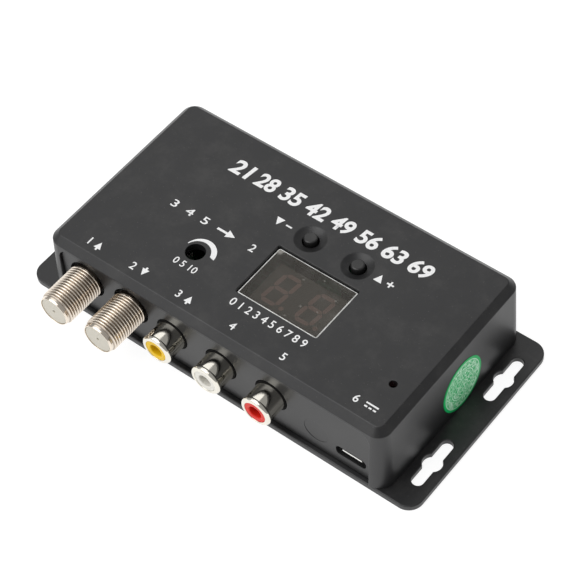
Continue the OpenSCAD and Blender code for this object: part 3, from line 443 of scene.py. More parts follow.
def wire(shader, color, roughness, height=None, depth=0.0, strength=0.5):
    tree = shader.id_data
    tree.links.new(color, shader.inputs["Base Color"])
    tree.links.new(roughness, shader.inputs["Roughness"])
    if height is not None:
        bump = node(tree, "ShaderNodeBump", {"Strength": strength, "Distance": depth, "Height": height})
        tree.links.new(bump.outputs[0], shader.inputs["Normal"])


def plastic(name, color, roughness, grain=4000.0, drift=0.15, depth=2e-5, strength=0.4, rub=0.3,
            dust=0.15, **constants):
    material, tree, shader = bare_finish(name, constants)
    grains = group_in(tree, GRAIN, {"Color": (*color, 1), "Grains per Metre": grain, "Drift": drift})
    edges = group_in(tree, RUB, {"Amount": rub})["Mask"]
    lying = group_in(tree, DUST, {"Cover": dust})["Mask"]
    paler = mixed(edges, grains["Color"], (*(min(1.0, c * 1.6 + 0.02) for c in color), 1))
    dusted = mixed(lying, paler, (0.45, 0.43, 0.4, 1))
    gloss = maths("ADD", grains["Gloss Shift"], roughness)
    gloss = maths("MULTIPLY_ADD", edges, -0.12, gloss)
    gloss = at_least(maths("MULTIPLY_ADD", lying, 0.3, gloss), 0.05)
    wire(shader, dusted, gloss, grains["Height"], depth, strength)
    return material


def metal(name, color, roughness, marks=9000.0, depth=4e-6):
    material, tree, shader = bare_finish(name, {"Metallic": 1.0})
    turned_on = group_in(tree, MARKS, {"Color": (*color, 1), "Marks per Metre": marks, "Blotch": 0.12})
    gloss = at_least(maths("ADD", turned_on["Gloss Shift"], roughness), 0.04)
    wire(shader, turned_on["Color"], gloss, turned_on["Height"], depth, 0.35)
    return material


def thread_nickel():
    """Nickel whose grooves are darker than their ridges."""
    material, tree, shader = bare_finish("nickel", {"Metallic": 1.0})
    turned_on = group_in(tree, MARKS, {
        "Color": (0.88, 0.79, 0.68, 1), "Marks per Metre": 6000.0, "Blotch": 0.3})
    groove = node(tree, "ShaderNodeAttribute", attribute_name="groove").outputs["Fac"]
    grimy = mixed(times(groove, 0.8), turned_on["Color"], (0.16, 0.115, 0.08, 1))
    gloss = maths("ADD", turned_on["Gloss Shift"], 0.2)
    gloss = at_least(maths("MULTIPLY_ADD", groove, 0.15, gloss), 0.06)
    wire(shader, grimy, gloss, turned_on["Height"], 4e-6, 0.3)
    return material


def clear_window():
    """Smoky clear plastic with a little dust, and a painted highlight in one corner."""
    material, tree, shader = bare_finish("clear_window", {"IOR": 1.49})
    spot = object_spot(tree)
    lying = group_in(tree, DUST, {"Cover": 0.3, "Specks per Metre": 700.0})["Mask"]
    # Painted highlight: a pale, rougher, less clear patch near the back left corner, where light is
    # reflected.
    from_edge = 0.9
    corner = WINDOW[0] - WINDOW_X + from_edge, WINDOW[1] + WINDOW_Y - from_edge, WINDOW_TOP
    corner = [c * MM for c in corner]
    off = node(tree, "ShaderNodeVectorMath", {0: spot, 1: corner}, operation="DISTANCE").outputs["Value"]
    rough_off = maths("MULTIPLY_ADD", noise(spot, 2500.0, 3.0), 0.0012, off)
    painted_corner_highlight = ramp(rough_off, 0.0021, 0.0011, 0.0, 0.6)
    # From here the mask holds both the dust and the painted highlight.
    lying = maths("MAXIMUM", painted_corner_highlight, lying)
    tint = mixed(lying, (0.058, 0.051, 0.041, 1), (0.5, 0.48, 0.44, 1))
    haze = ramp(noise(spot, 120.0, 3.0), 0.3, 0.8, 0.06, 0.1)
    wire(shader, tint, maths("MULTIPLY_ADD", lying, 0.4, haze))
    tree.links.new(maths("MULTIPLY_ADD", lying, 0.5, 0.5), shader.inputs["Alpha"])
    return material


def window_depth():
    """The walls and the underside of the clear insert, seen through its face."""
    material, tree, shader = bare_finish("window_depth", {"Specular IOR Level": 0.1})
    drift = ramp(noise(object_spot(tree), 200.0, 2.0), 0.3, 0.7)
    color = mixed(drift, (0.05, 0.05, 0.045, 1), (0.08, 0.08, 0.07, 1))
    wire(shader, color, ramp(drift, 0.0, 1.0, 0.3, 0.4))
    tree.links.new(ramp(drift, 0.0, 1.0, 0.03, 0.06), shader.inputs["Alpha"])
    return material


def window_edge():
    """The chamfer of the clear insert, painted pale and glowing a little: a painted highlight and glow along
    its edge.
    """
    # Painted highlight: the chamfer's pale colour also glows, though it is no lamp.
    material, tree, shader = bare_finish("window_edge", {"Emission Strength": 0.22})
    patch = ramp(noise(object_spot(tree), 350.0, 3.0), 0.3, 0.7)
    color = mixed(patch, (0.55, 0.55, 0.53, 1), (0.95, 0.95, 0.93, 1))
    wire(shader, color, ramp(patch, 0.0, 1.0, 0.2, 0.35))
    tree.links.new(color, shader.inputs["Emission Color"])
    return material


def sticker_print():
    """Green film with pale rings, rosettes and scribble, measured in millimetres from its middle."""
    material, tree, shader = bare_finish("sticker_print", {"Specular IOR Level": 0.25})
    across, height = STICKER[:2]
    centred = node(tree, "ShaderNodeMapping", {
        "Vector": object_spot(tree), "Location": (0, -across, -height), "Scale": (1 / MM,) * 3}).outputs[0]
    parts = node(tree, "ShaderNodeSeparateXYZ", {0: centred}).outputs
    flat = node(tree, "ShaderNodeCombineXYZ", {"X": parts["Y"], "Y": parts["Z"]}).outputs[0]
    radius = node(tree, "ShaderNodeVectorMath", {0: flat}, operation="LENGTH").outputs["Value"]
    turn = maths("ARCTAN2", parts["Z"], parts["Y"])
    ragged = noise(flat, 2.2, 3.0, 0.7)

    def rosette(petals, swell, pitch, phase):
        wave = maths("SINE", maths("MULTIPLY_ADD", turn, petals, phase))
        run = maths("MULTIPLY_ADD", wave, swell, radius)
        run = maths("MULTIPLY_ADD", ragged, 0.7, run)
        share = maths("FRACT", maths("DIVIDE", run, pitch))
        return ramp(maths("ABSOLUTE", swing(share)), 0.09, 0.03)

    def band(low, high, soft=0.08):
        return times(ramp(radius, low - soft, low + soft),
                     ramp(radius, high + soft, high - soft))

    def either(a, b):
        return maths("MAXIMUM", a, b)

    outer = either(rosette(15.0, 0.45, 1.2, 0.0), rosette(-15.0, 0.45, 1.2, 1.6))
    inner = either(rosette(7.0, 0.6, 1.3, 0.5), rosette(-7.0, 0.6, 1.3, 2.0))
    cells = node(tree, "ShaderNodeTexVoronoi", {"Vector": flat, "Scale": 0.75}, feature="DISTANCE_TO_EDGE")
    scribble = ramp(cells.outputs["Distance"], 0.12, 0.05)
    outer, inner, scribble = (times(pattern, field) for pattern, field in (
        (outer, band(4.6, 6.6)), (inner, band(0.0, 4.1)), (scribble, either(band(0.0, 3.9), band(4.7, 6.5)))))
    lines = either(either(outer, inner), scribble)
    lines = times(lines, ramp(ragged, 0.35, 0.6, 0.15, 1.0))
    lines = either(lines, either(band(4.2, 4.42), band(6.65, 6.85)))
    green = mixed(noise(flat, 0.8, 2.0), (0.0, 0.42, 0.1, 1), (0.002, 0.56, 0.15, 1))
    color = mixed(lines, green, (0.7, 0.95, 0.78, 1))
    wire(shader, color, maths("MULTIPLY_ADD", lines, 0.1, 0.4), ragged, 2e-5, 0.2)
    return material


def rotor_plastic():
    """Pale plastic with painted shade low in the slot, which shows how far the adjuster is turned."""
    material, tree, shader = bare_finish("trimmer_white", {})
    grains = group_in(tree, GRAIN, {"Color": (0.6, 0.6, 0.55, 1), "Drift": 0.15})
    height = node(tree, "ShaderNodeSeparateXYZ", {0: object_spot(tree)}).outputs["Z"]
    # Painted shade: the rotor turns nearly black below its top, deep in the slot.
    sunk = ramp(height, (ROTOR_TOP - 0.15) * MM, (ROTOR_TOP - 0.45) * MM)
    color = mixed(times(sunk, 0.95), grains["Color"], (0.03, 0.027, 0.024, 1))
    wire(shader, color, maths("ADD", grains["Gloss Shift"], 0.45), grains["Height"], 2e-5, 0.4)
    return material


def print_ink():
    """White ink, a little uneven where the screen laid it down."""
    material, tree, shader = bare_finish("print_ink", {})
    patch = noise(object_spot(tree), 2600.0, 3.0, 0.6)
    color = mixed(ramp(patch, 0.3, 0.7), (0.86, 0.86, 0.86, 1), (0.97, 0.97, 0.97, 1))
    wire(shader, color, ramp(patch, 0.2, 0.8, 0.45, 0.6), patch, 8e-6, 0.4)
    return material


def solder_mask():
    """Green board with paler tracks and pads."""
    material, tree, shader = bare_finish("solder_mask", {"Coat Weight": 0.3, "Coat Roughness": 0.25})
    spot = object_spot(tree)
    tracks = node(tree, "ShaderNodeTexBrick", {
        "Vector": spot, "Color1": (0, 0, 0, 1), "Color2": (0.25, 0.25, 0.25, 1), "Mortar": (1, 1, 1, 1),
        "Scale": 160.0, "Mortar Size": 0.03})
    track = node(tree, "ShaderNodeSeparateColor", {0: tracks.outputs["Color"]}).outputs[0]
    color = mixed(track, (0.012, 0.11, 0.045, 1), (0.03, 0.2, 0.09, 1))
    wire(shader, color, ramp(noise(spot, 300.0), 0.3, 0.7, 0.3, 0.42), track, 3e-5, 0.5)
    return material


# Each colour and roughness, with what differs from plain moulded plastic or plated metal
CLEAN = {"rub": 0.0, "dust": 0.0}
DIGIT_FACE = {"grain": 700.0, "depth": 1e-6, "strength": 0.1, **CLEAN}
TINTED = {"depth": 1e-5, "Specular IOR Level": 0.35, **CLEAN}
PLASTICS = {
    "case_plastic": ((0.013, 0.013, 0.0138), 0.4, {
        "grain": 3800.0, "drift": 0.12, "depth": 3e-5, "strength": 0.35, "rub": 0.35, "dust": 0.1}),
    "panel_plastic": ((0.013, 0.013, 0.0135), 0.34, {
        "grain": 5200.0, "drift": 0.12, "depth": 1e-5, "strength": 0.25, "rub": 0.2, "dust": 0.05,
        "Specular IOR Level": 0.42}),
    "stem_plastic": ((0.012, 0.012, 0.012), 0.28, {"rub": 0.5, "dust": 0.1}),
    "black_plastic": ((0.004, 0.004, 0.004), 0.8, {"Specular IOR Level": 0.12, **CLEAN}),
    "nylon": ((0.72, 0.68, 0.55), 0.45, {"rub": 0.0, "dust": 0.05}),
    "trimmer_blue": ((0.03, 0.08, 0.35), 0.45, {"rub": 0.2, "dust": 0.0}),
    "package": ((0.018, 0.018, 0.02), 0.6, {"grain": 9000.0, "rub": 0.1, "dust": 0.1}),
    "ferrite": ((0.03, 0.028, 0.026), 0.7, {"grain": 7000.0, "strength": 0.8, "rub": 0.2}),
    "segment": ((0.25, 0.155, 0.125), 0.5, {"drift": 0.1, **DIGIT_FACE}),
    "display_face": ((0.078, 0.07, 0.054), 0.6, {"drift": 0.12, **DIGIT_FACE}),
    "lamp_red": ((0.35, 0.03, 0.02), 0.2, {"depth": 0.0, "Coat Weight": 0.6, **CLEAN}),
    "cream_insulator": ((0.5, 0.465, 0.38), 0.35, {
        "depth": 1e-5, "Coat Weight": 0.5, "Coat Roughness": 0.15, **CLEAN}),
    "yellow_insulator": ((0.78, 0.5, 0.004), 0.45, TINTED),
    "white_insulator": ((0.74, 0.72, 0.66), 0.45, TINTED),
    "red_insulator": ((0.66, 0.018, 0.008), 0.45, TINTED),
}
METALS = {
    "bright_nickel": ((0.8, 0.77, 0.69), 0.1, {"marks": 5000.0, "depth": 1e-6}),
    "tinplate": ((0.85, 0.84, 0.81), 0.3, {}),
    "screw_steel": ((0.55, 0.55, 0.57), 0.3, {}),
    "contact": ((0.85, 0.62, 0.25), 0.25, {}),
    "capacitor": ((0.66, 0.66, 0.67), 0.32, {}),
    "copper": ((0.75, 0.36, 0.16), 0.3, {}),
    "dome": ((0.7, 0.69, 0.65), 0.22, {}),
}
FINISHES = {name: make(name, color, roughness, **rest)
            for make, table in ((plastic, PLASTICS), (metal, METALS))
            for name, (color, roughness, rest) in table.items()}
FINISHES.update(
    trimmer_white=rotor_plastic(), nickel=thread_nickel(), window=clear_window(), window_edge=window_edge(),
    window_depth=window_depth(), sticker_green=sticker_print(), print_ink=print_ink(), board=solder_mask())


# Base plate

def slot_outline(cx, cy):
    """A mounting slot whose middle opens into a round eye."""
    half_w, reach = SLOT_W / 2, SLOT_L / 2 - SLOT_W / 2
    spread = degrees(acos(half_w / SLOT_EYE_R))
    out = []
    for sign in (1, -1):
        out += [polar(sign * SLOT_EYE_R, radians(turn)) for turn in spaced(-spread, spread, 8)]
        end = [polar(half_w, radians(turn)) for turn in spaced(0, 180, 12)]
        out += [(sign * x, sign * (reach + y)) for x, y in end]
    return [(cx + x, cy + y) for x, y in out]


def column_outline(side, y, r, web):
    """The outline of a column that runs out in a web towards its side wall."""
    far = side * (CAVITY_X + BITE - COLUMN_X)
    first = asin(web / r)
    shape = [(far, -web), (far, web)] if side > 0 else [(far, web), (far, -web)]
    shape += [polar(side * r, a) for a in spaced(first, 2 * pi - first, 24)]
    return [(side * COLUMN_X + px, y + py) for px, py in shape]


def column_set(r, web, low, high):
    """All four columns as one solid, in the shape that the cover carries or the plate clears."""
    points, faces = [], []
    for side in (-1, 1):
        for y in COLUMN_YS:
            outline = column_outline(side, y, r, web)
            base, n = len(points), len(outline)
            points += level(outline, low) + level(outline, high)
            faces += [tuple(base + k for k in face) for face in skin(n, 2, False)]
            faces += [tuple(range(base, base + n)), tuple(range(base + n, base + 2 * n))]
    return solid("columns", points, faces)


def make_base_plate():
    outlines = [round_rect(PLATE_L / 2, PLATE_W / 2, PLATE_R, 12)]
    outlines += [slot_outline(sx * SLOT_X, sy * SLOT_Y) for sx in (-1, 1) for sy in (-1, 1)]
    plate = flat_piece("base_plate_shaped", outlines, 0, PLATE_T, PLATE_EDGE)
    front, back = PANEL_BACK_Y + SLIP, CAVITY_Y - SLIP
    rim_x, rim_y, mid = CAVITY_X - SLIP, (back - front) / 2, (front + back) / 2
    outer = round_rect(rim_x, rim_y, CAVITY_R, 4, 0, mid)
    inner = round_rect(rim_x - RIM_T, rim_y - RIM_T, RIM_CORNER_R, 4, 0, mid)
    low, high = PLATE_T - BITE, PLATE_T + RIM_H
    sides = (outer, low), (outer, high), (inner, high), (inner, low)
    rim = loft("rim", [level(*side) for side in sides], ring=True)
    column_play, web_play = 0.5, 0.5
    combine(rim, column_set(COLUMN_R + column_play, COLUMN_WEB + web_play, PLATE_T, PLATE_T + 3))
    combine(plate, rim, "UNION")
    root, floor = 1.0, 1.2
    post = [(0, root), (POST_R, root), (POST_R, BOARD_BOTTOM), (POST_BORE_R, BOARD_BOTTOM),
            (POST_BORE_R, floor), (0, floor)]
    for x in POST_XS:
        for y in POST_YS:
            combine(plate, moved(turned("post", post, 40), at(x, y)), "UNION")
    head_r, hole_r, head_low, head_high = 2.55, 1.35, 0.15, 1.35
    sink = eased([(0, -1), (head_r, -1), (head_r, head_low), (hole_r, head_high), (hole_r, 3), (0, 3)],
                 [0, 0, 0.1, 0.1, 0, 0], 3)
    for side in (-1, 1):
        for y in COLUMN_YS:
            combine(plate, moved(turned("sink", sink, 48), at(side * COLUMN_X, y)))
    place(tidy_mesh(plate), "case_plastic", "base_plate")


# Cover

def make_cover():
    inset = (SHOULDER_Z - PLATE_T) * DRAFT
    wall = eased([(1.0, PLATE_T), (0, PLATE_T), (inset, SHOULDER_Z), (inset + BEVEL, TOP_Z), (4.0, TOP_Z)],
                 [0, 0.15, 0.45, 0.45, 0], 5)
    cover = loft("case_cover_shaped", [
        level(round_rect(COVER_X - d, COVER_Y - d, COVER_R - d, 12), z) for d, z in wall])
    cavity = round_rect(CAVITY_X, CAVITY_Y, CAVITY_R, 5)
    below, into_ceiling = 0.5, CEILING_Z + BITE
    combine(cover, loft("cavity", [level(cavity, z) for z in (below, CEILING_Z)]))
    combine(cover, column_set(COLUMN_R, COLUMN_WEB, PLATE_T, into_ceiling), "UNION")
    for side in (-1, 1):
        middle = side * (CAVITY_X - GUIDE_IN), PANEL_BACK_Y + SLIP + GUIDE_Y
        guide = round_rect(GUIDE_X, GUIDE_Y, 0.05, 2, *middle)
        combine(cover, loft("guide", [level(guide, z) for z in (GUIDE_LOW, into_ceiling)]), "UNION")
        for y in COLUMN_YS:
            pilot = turned("pilot", [(0, below), (PILOT_R, below), (PILOT_R, PILOT_TOP), (0, PILOT_TOP)], 32)
            combine(cover, moved(pilot, at(side * COLUMN_X, y)))

    def opening_loop(grow, depth=None):
        """The opening's outline at a depth behind the drafted face, or behind the panel's seat."""
        outline = arch(OPEN_X + grow, OPEN_LOW - grow, OPEN_Z + grow, OPEN_R + grow)
        return [(x, PANEL_SEAT_Y + 0.6 if depth is None else -COVER_Y + (z - PLATE_T) * DRAFT + depth, z)
                for x, z in outline]

    loops = [opening_loop(0)] + [opening_loop(grow, depth) for grow, depth in flare(0.22)]
    combine(cover, loft("opening", loops))

    hole_low = CEILING_Z - OVERCUT
    combine(cover, slot_cutter(WINDOW_X, WINDOW_Y, WINDOW_R, 5, WINDOW, hole_low, TOP_Z, 0.16))
    ball = (DISH_R ** 2 + DISH_DEPTH ** 2) / (2 * DISH_DEPTH)

    def bowl(r):
        return (r, TOP_Z - DISH_DEPTH + ball - sqrt(ball * ball - r * r))

    spread = spaced(STEM_HOLE_R, DISH_R, 8)[1:-1]
    corners = [(0, hole_low), (STEM_HOLE_R, hole_low), bowl(STEM_HOLE_R)] + [bowl(r) for r in spread]
    corners += [(DISH_R, TOP_Z), (DISH_R + 1.0, TOP_Z + 0.01)]
    radii = [0, 0, 0.12] + [0] * len(spread) + [0.9, 0]
    dish = eased(corners, radii, 4) + [(DISH_R + 1.4, TOP_Z + 0.5), (0, TOP_Z + 0.5)]
    for x in BUTTONS.values():
        combine(cover, moved(turned("dish", dish, 80), at(x, BUTTON_Y)))
    for (x, y, r), edge in ((ADJUSTER, 0.15), (LAMP, 0.1)):
        combine(cover, hole_cutter(x, y, r, hole_low, TOP_Z, edge))
    place(tidy_mesh(cover), "case_plastic", "case_cover")


# Socket panel, shaped lying down with its face up

def make_panel():
    back, seat, front = -PANEL_BACK_Y, -PANEL_SEAT_Y, -PANEL_Y
    foot_gap, corner_r = 0.4, 0.2
    outline = arch(OPEN_X - SLIP, PLATE_T + foot_gap, OPEN_Z - SLIP, OPEN_R - SLIP, corner_r)
    face = flat_piece("front_panel_shaped", [outline], back + BITE, front, 0.15)
    outline = arch(CAVITY_X - CAVITY_R - SLIP, PLATE_T, CEILING_Z - SLIP, 1.0)
    combine(face, flat_piece("lip", [outline], back, seat, 0.05), "UNION")
    holes = [(x, AERIAL_Z, AERIAL_HOLE_R) for x in AERIALS.values()]
    holes += [(x, PHONO_Z, PHONO_HOLE_R) for x in PHONOS.values()]
    for x, z, r in holes:
        combine(face, hole_cutter(x, z, r, back - OVERCUT, front, 0.12))
    combine(face, slot_cutter(*POWER_SLOT, 6, POWER, back - OVERCUT, front, 0.12))
    x, z, r, sunk = KNOCKOUT
    combine(face, hole_cutter(x, z, r, front - sunk, front, 0.09, 80))
    moved(face, facing_front(0, 0, 0))
    place(tidy_mesh(face), "panel_plastic", "front_panel")


# Aerial sockets

BARREL_R, ROOT_R, THREAD_PITCH, CREST_SHARE = 4.7, 4.28, 0.794, 0.28
BARREL_L, THREAD_FROM, THREAD_TO = 15.1, 2.8, 14.0
BORE_R, MOUTH_R, MOUTH_FLOOR, SPIGOT_R, SPIGOT_END = 3.1, 3.9, BARREL_L - 2.6, 3.6, -1.6


def make_aerial_socket(which, x):
    """A threaded barrel with a chamfered nose, and its insulator with the hole for the core."""
    turns = spaced(0, 2 * pi, 112)[:-1]
    flank, run_in, run_out = 0.5 - CREST_SHARE / 2, 0.5, 0.35
    depth = BARREL_R - ROOT_R

    def ridge(u, a):
        share = ((u - THREAD_TO) / THREAD_PITCH - a / (2 * pi)) % 1.0
        height = 1.0 - max(0.0, abs(share - 0.5) - CREST_SHARE / 2) / flank
        fade = min(1.0, max(0.0, (u - THREAD_FROM) / run_in))
        nose = BARREL_R - max(0.0, (u - THREAD_TO + run_out) / run_out) * depth
        return min(nose, ROOT_R + depth * height * fade)

    foot = eased([(BORE_R, SPIGOT_END), (SPIGOT_R, SPIGOT_END), (SPIGOT_R, 0), (ROOT_R, 0), (ROOT_R, 1.5)],
                 [0, 0.1, 0, 0.1, 0], 2)
    nose = eased([(ROOT_R, THREAD_TO + 0.15), (ROOT_R, BARREL_L - 0.4), (ROOT_R - 0.2, BARREL_L),
                  (MOUTH_R, BARREL_L), (MOUTH_R, MOUTH_FLOOR), (BORE_R, MOUTH_FLOOR), (BORE_R, BARREL_L - 6)],
                 [0, 0.25, 0.1, 0.08, 0.1, 0.05, 0], 3)
    thread = [(None, u) for u in spaced(THREAD_FROM, THREAD_TO, 170)]
    loops, grooves = [], []
    for r, u in foot + thread + nose:
        sizes = [ridge(u, a) if r is None else r for a in turns]
        loops.append([(*polar(s, a), u) for s, a in zip(sizes, turns)])
        grooves += [(BARREL_R - s) / depth if r is None else 0.1 for s in sizes]
    barrel = loft("f_barrel_%s_shaped" % which, loops, ring=True, gap=0)
    barrel.data.attributes.new("groove", "FLOAT", "POINT").data.foreach_set("value", grooves)
    place(on_board(barrel, x, AERIAL_Z), "nickel", "f_barrel_" + which, angle=50)

    hole_r, clip_r, hole_end, face = 0.32, 1.3, BARREL_L - 1.2, BARREL_L - 0.15
    fill = eased([(hole_r, hole_end), (hole_r, face), (MOUTH_R, face), (MOUTH_R, MOUTH_FLOOR),
                  (BORE_R, MOUTH_FLOOR), (BORE_R, SPIGOT_END), (clip_r, SPIGOT_END), (clip_r, hole_end)],
                 [0, 0.2, 0.25, 0, 0, 0, 0, 0], 4, closed=True)
    core = on_board(turned("f_insulator_%s_shaped" % which, fill, 96), x, AERIAL_Z)
    place(core, "cream_insulator", "f_insulator_" + which)


# Phono sockets

SHELL_R, SHELL_L, SHELL_WALL, LIP_R, LIP_PROUD, COLLAR_L = 4.15, 8.9, 0.45, 0.75, 0.1, 2.8
ROOT_STEP = 0.22
SHELL_MOUTH_R = 3.05
SEAM_AT, SEAM_HALF, SEAM_DEPTH = 8.0, 2.0, 0.12


def make_phono_socket(which, x, tint):
    """A bright shell with a rolled lip and a lengthwise seam, round a coloured insulator."""
    lip = [(SHELL_R + LIP_PROUD - LIP_R * (1 - cos(a)), SHELL_L - LIP_R * (1 - sin(a)))
           for a in map(radians, spaced(-30, 90, 14))]
    bore, root, shoulder = SHELL_R - SHELL_WALL, SHELL_R - ROOT_STEP, SHELL_L - SHELL_WALL
    inner = eased([lip[-1], (SHELL_MOUTH_R, SHELL_L), (SHELL_MOUTH_R, shoulder), (bore, shoulder), (bore, 0),
                   (root, 0), (root, COLLAR_L), (SHELL_R, COLLAR_L), (SHELL_R, COLLAR_L + 0.4)],
                  [0, 0.12, 0.1, 0, 0, 0, 0, 0.08, 0], 3)
    wall = [(SHELL_R, h) for h in spaced(COLLAR_L + 0.4, lip[0][1] - 0.1, 6)[1:]]
    profile = inner + wall + lip[:-1]
    turns = spaced(0, 360, 120)[:-1] + [SEAM_AT + SEAM_HALF * s for s in (-1, -0.75, -0.35, 0.35, 0.75, 1)]
    turns = sorted(set(round(turn % 360, 3) for turn in turns))

    def sunk(r, h, turn):
        off = abs((turn - SEAM_AT + 180) % 360 - 180) / SEAM_HALF
        if off > 0.9 or not (COLLAR_L < h < SHELL_L - LIP_R and r > SHELL_R - 0.1):
            return r
        return r - SEAM_DEPTH * (1 if off < 0.5 else 0.4)

    loops = [[(*polar(sunk(r, h, turn), radians(turn)), h) for turn in turns] for r, h in profile]
    shell = on_board(loft("rca_shell_%s_shaped" % which, loops, ring=True), x, PHONO_Z)
    place(shell, "bright_nickel", "rca_shell_" + which)

    pin_r, low, face = 1.75, 0.3, SHELL_L - 0.1
    fill = eased([(pin_r, low), (bore, low), (bore, shoulder), (SHELL_MOUTH_R, shoulder),
                  (SHELL_MOUTH_R, face), (pin_r, face)], [0, 0, 0, 0, 0.15, 0.3], 4, closed=True)
    core = on_board(turned("rca_insulator_%s_shaped" % which, fill, 96), x, PHONO_Z)
    place(core, tint, "rca_insulator_" + which)


# Power socket

def make_power_shell():
    """A thin shell with cut lower corners, and the flared lip over its mouth."""
    half_l, half_h, wall, depth, set_back, off_middle = 3.75, 1.275, 0.25, 5.0, 1.5, 0.4

    def outline(shrink):
        x, z, cut = half_l - shrink, half_h - shrink, 0.85 - shrink * 0.4
        corners = [(x, z), (-x, z), (-x, cut - z), (cut - x, -z), (x - cut, -z), (x, cut - z)]
        return eased(corners, [0.35, 0.35, 0.25, 0.25, 0.25, 0.25], 4, closed=True)

    stages = ((0, 0), (0, depth - 0.08), (wall / 2, depth), (wall, depth - 0.08), (wall, wall))
    shell = loft("usb_shell_shaped", [level(outline(shrink), z) for shrink, z in stages])
    lip = [level(round_rect(2.75, thick / 2, 0.1, 3, 0, half_h - thick / 2), depth + reach)
           for reach, thick in ((-0.4, 0.25), (0.2, 0.25), (0.8, 0.4), (1.36, 0.6), (1.47, 0.5))]
    combine(shell, loft("lip", lip), "UNION")
    moved(shell, facing_front(POWER[0] + off_middle, PANEL_Y + set_back + depth, POWER[1]))
    place(tidy_mesh(shell), "tinplate", "usb_shell")


# Window insert, buttons and sticker

def make_window():
    """A clear insert with a flange below and a chamfered edge above that carries a painted highlight."""
    x, y, flange, seat = WINDOW_X - WINDOW_PLAY, WINDOW_Y - WINDOW_PLAY, 1.45, CEILING_Z - 0.02
    steps = [(flange, CEILING_Z - 1), (flange, seat), (0, seat), (0, WINDOW_TOP - 0.18), (-0.32, WINDOW_TOP)]
    insert = loft("display_window_shaped", [
        level(round_rect(x + g, y + g, WINDOW_R + max(g, -0.3), 5, *WINDOW), z) for g, z in steps])
    for finish in ("window", "window_edge", "window_depth"):
        insert.data.materials.append(FINISHES[finish])
    for face in insert.data.polygons:
        face.material_index = 2 if face.normal.z < 0.3 else 1 if face.normal.z < 0.95 else 0
    place(insert, "window", "display_window", dressed=True, angle=20)


def make_stem(which, x):
    """A round push stem with a worn domed end, its flange and the tip that presses the dome."""
    stem_r, flange_r, nub_r, tip = 1.75, 2.3, 0.8, TOP_Z + 0.7
    profile = eased([(0, 13.3), (nub_r, 13.3), (nub_r, 13.9), (flange_r, 13.9), (flange_r, 14.9),
                     (stem_r, 14.9), (stem_r, tip - 0.06), (1.2, tip), (0, tip)],
                    [0, 0.1, 0, 0.1, 0.1, 0, 0.4, 0.5, 0], 6)
    stem = moved(turned("switch_stem_%s_shaped" % which, profile, 72), at(x, BUTTON_Y))
    place(stem, "stem_plastic", "switch_stem_" + which, body="button_" + which)


def make_sticker():
    """A round film label that lies on the drafted right end."""
    across, height, r = STICKER
    profile = eased([(0, -0.02), (r, -0.02), (r, 0.11), (0, 0.115)], [0, 0, 0.05, 0], 3)
    label = turned("inspection_sticker_shaped", profile, 128)
    lean = Matrix.Rotation(atan(DRAFT), 4, "Y").inverted() @ Matrix.Rotation(pi / 2, 4, "Y")
    moved(label, at(COVER_X - (height - PLATE_T) * DRAFT, across, height) @ lean)
    place(label, "sticker_green", "inspection_sticker")


# Pieces that repeat, grown with Geometry Nodes

def grow(name, tree, values):
    """Runs a tree on an empty mesh with its named inputs set, and keeps the result as a plain mesh."""
    piece = new_object(name, bpy.data.meshes.new(name))
    modifier = piece.modifiers.new("grown", "NODES")
    modifier.node_group = tree
    for item in tree.interface.items_tree:
        if item.in_out == "INPUT" and item.name in values:
            modifier[item.identifier] = values[item.name]
    return settle(piece)


def screw_tree():
    """One screw at each corner of a rectangle, each turned by its own angle."""
    geometry = ("Geometry", "NodeSocketGeometry")
    tree, given, out = node_group("screws_at_corners", [
        geometry, ("Screw", "NodeSocketObject"), ("Distance Across", FLOAT), ("Distance Along", FLOAT),
        ("Middle Along", FLOAT), ("Turn Seed", "NodeSocketInt"), ("Finish", "NodeSocketMaterial")],
        [geometry], "GeometryNodeTree")
    tree.is_modifier = True
    grid = node(tree, "GeometryNodeMeshGrid", {
        "Size X": given["Distance Across"], "Size Y": given["Distance Along"],
        "Vertices X": 2, "Vertices Y": 2})
    offset = node(tree, "ShaderNodeCombineXYZ", {"Y": given["Middle Along"]})
    spots = node(tree, "GeometryNodeSetPosition", {
        "Geometry": grid.outputs["Mesh"], "Offset": offset.outputs[0]})
    screw = node(tree, "GeometryNodeObjectInfo", {"Object": given["Screw"]})
    turn = node(tree, "FunctionNodeRandomValue", {
        "Seed": given["Turn Seed"], 2: 0.0, 3: pi}, data_type="FLOAT")
    about = node(tree, "ShaderNodeCombineXYZ", {"Z": turn.outputs[1]})
    held = node(tree, "GeometryNodeInstanceOnPoints", {
        "Points": spots.outputs[0], "Instance": screw.outputs["Geometry"], "Rotation": about.outputs[0]})
    plain = node(tree, "GeometryNodeRealizeInstances", {"Geometry": held.outputs[0]})
    finished = node(tree, "GeometryNodeSetMaterial", {
        "Geometry": plain.outputs[0], "Material": given["Finish"]})
    tree.links.new(finished.outputs[0], out[0])
    return tree


def make_case_screws():
    """Countersunk screws with a cross drive, seen from below."""
    head_r, shank_r, low, tip = 2.4, 1.25, 0.15, 9.15
    profile = eased([(0, low), (head_r, low), (head_r, 0.2), (shank_r, 1.35), (shank_r, 8.9), (1.0, tip),
                     (0, tip)], [0, 0.05, 0, 0.1, 0.1, 0.1, 0], 3)
    screw = turned("screw", profile, 48)
    for turn in (0, pi / 2):
        loops = [[(x * (1 - sink * 0.25), y * (1 - sink * 0.25), 0.1 + sink)
                  for x, y in round_rect(1.3, 0.34, 0.12, 2)] for sink in (-0.3, 0.65)]
        combine(screw, moved(loft("drive", loops), Matrix.Rotation(turn, 4, "Z")))
    screws = grow("case_screws_shaped", screw_tree(), {
        "Screw": screw, "Distance Across": 2 * COLUMN_X, "Distance Along": COLUMN_YS[1] - COLUMN_YS[0],
        "Middle Along": sum(COLUMN_YS) / 2, "Turn Seed": 7, "Finish": FINISHES["screw_steel"]})
    bpy.data.objects.remove(screw)
    place(tidy_mesh(screws), "screw_steel", "case_screws")


# Print on the top

INK_LOW, INK_HIGH = TOP_Z - 0.006, TOP_Z + 0.014


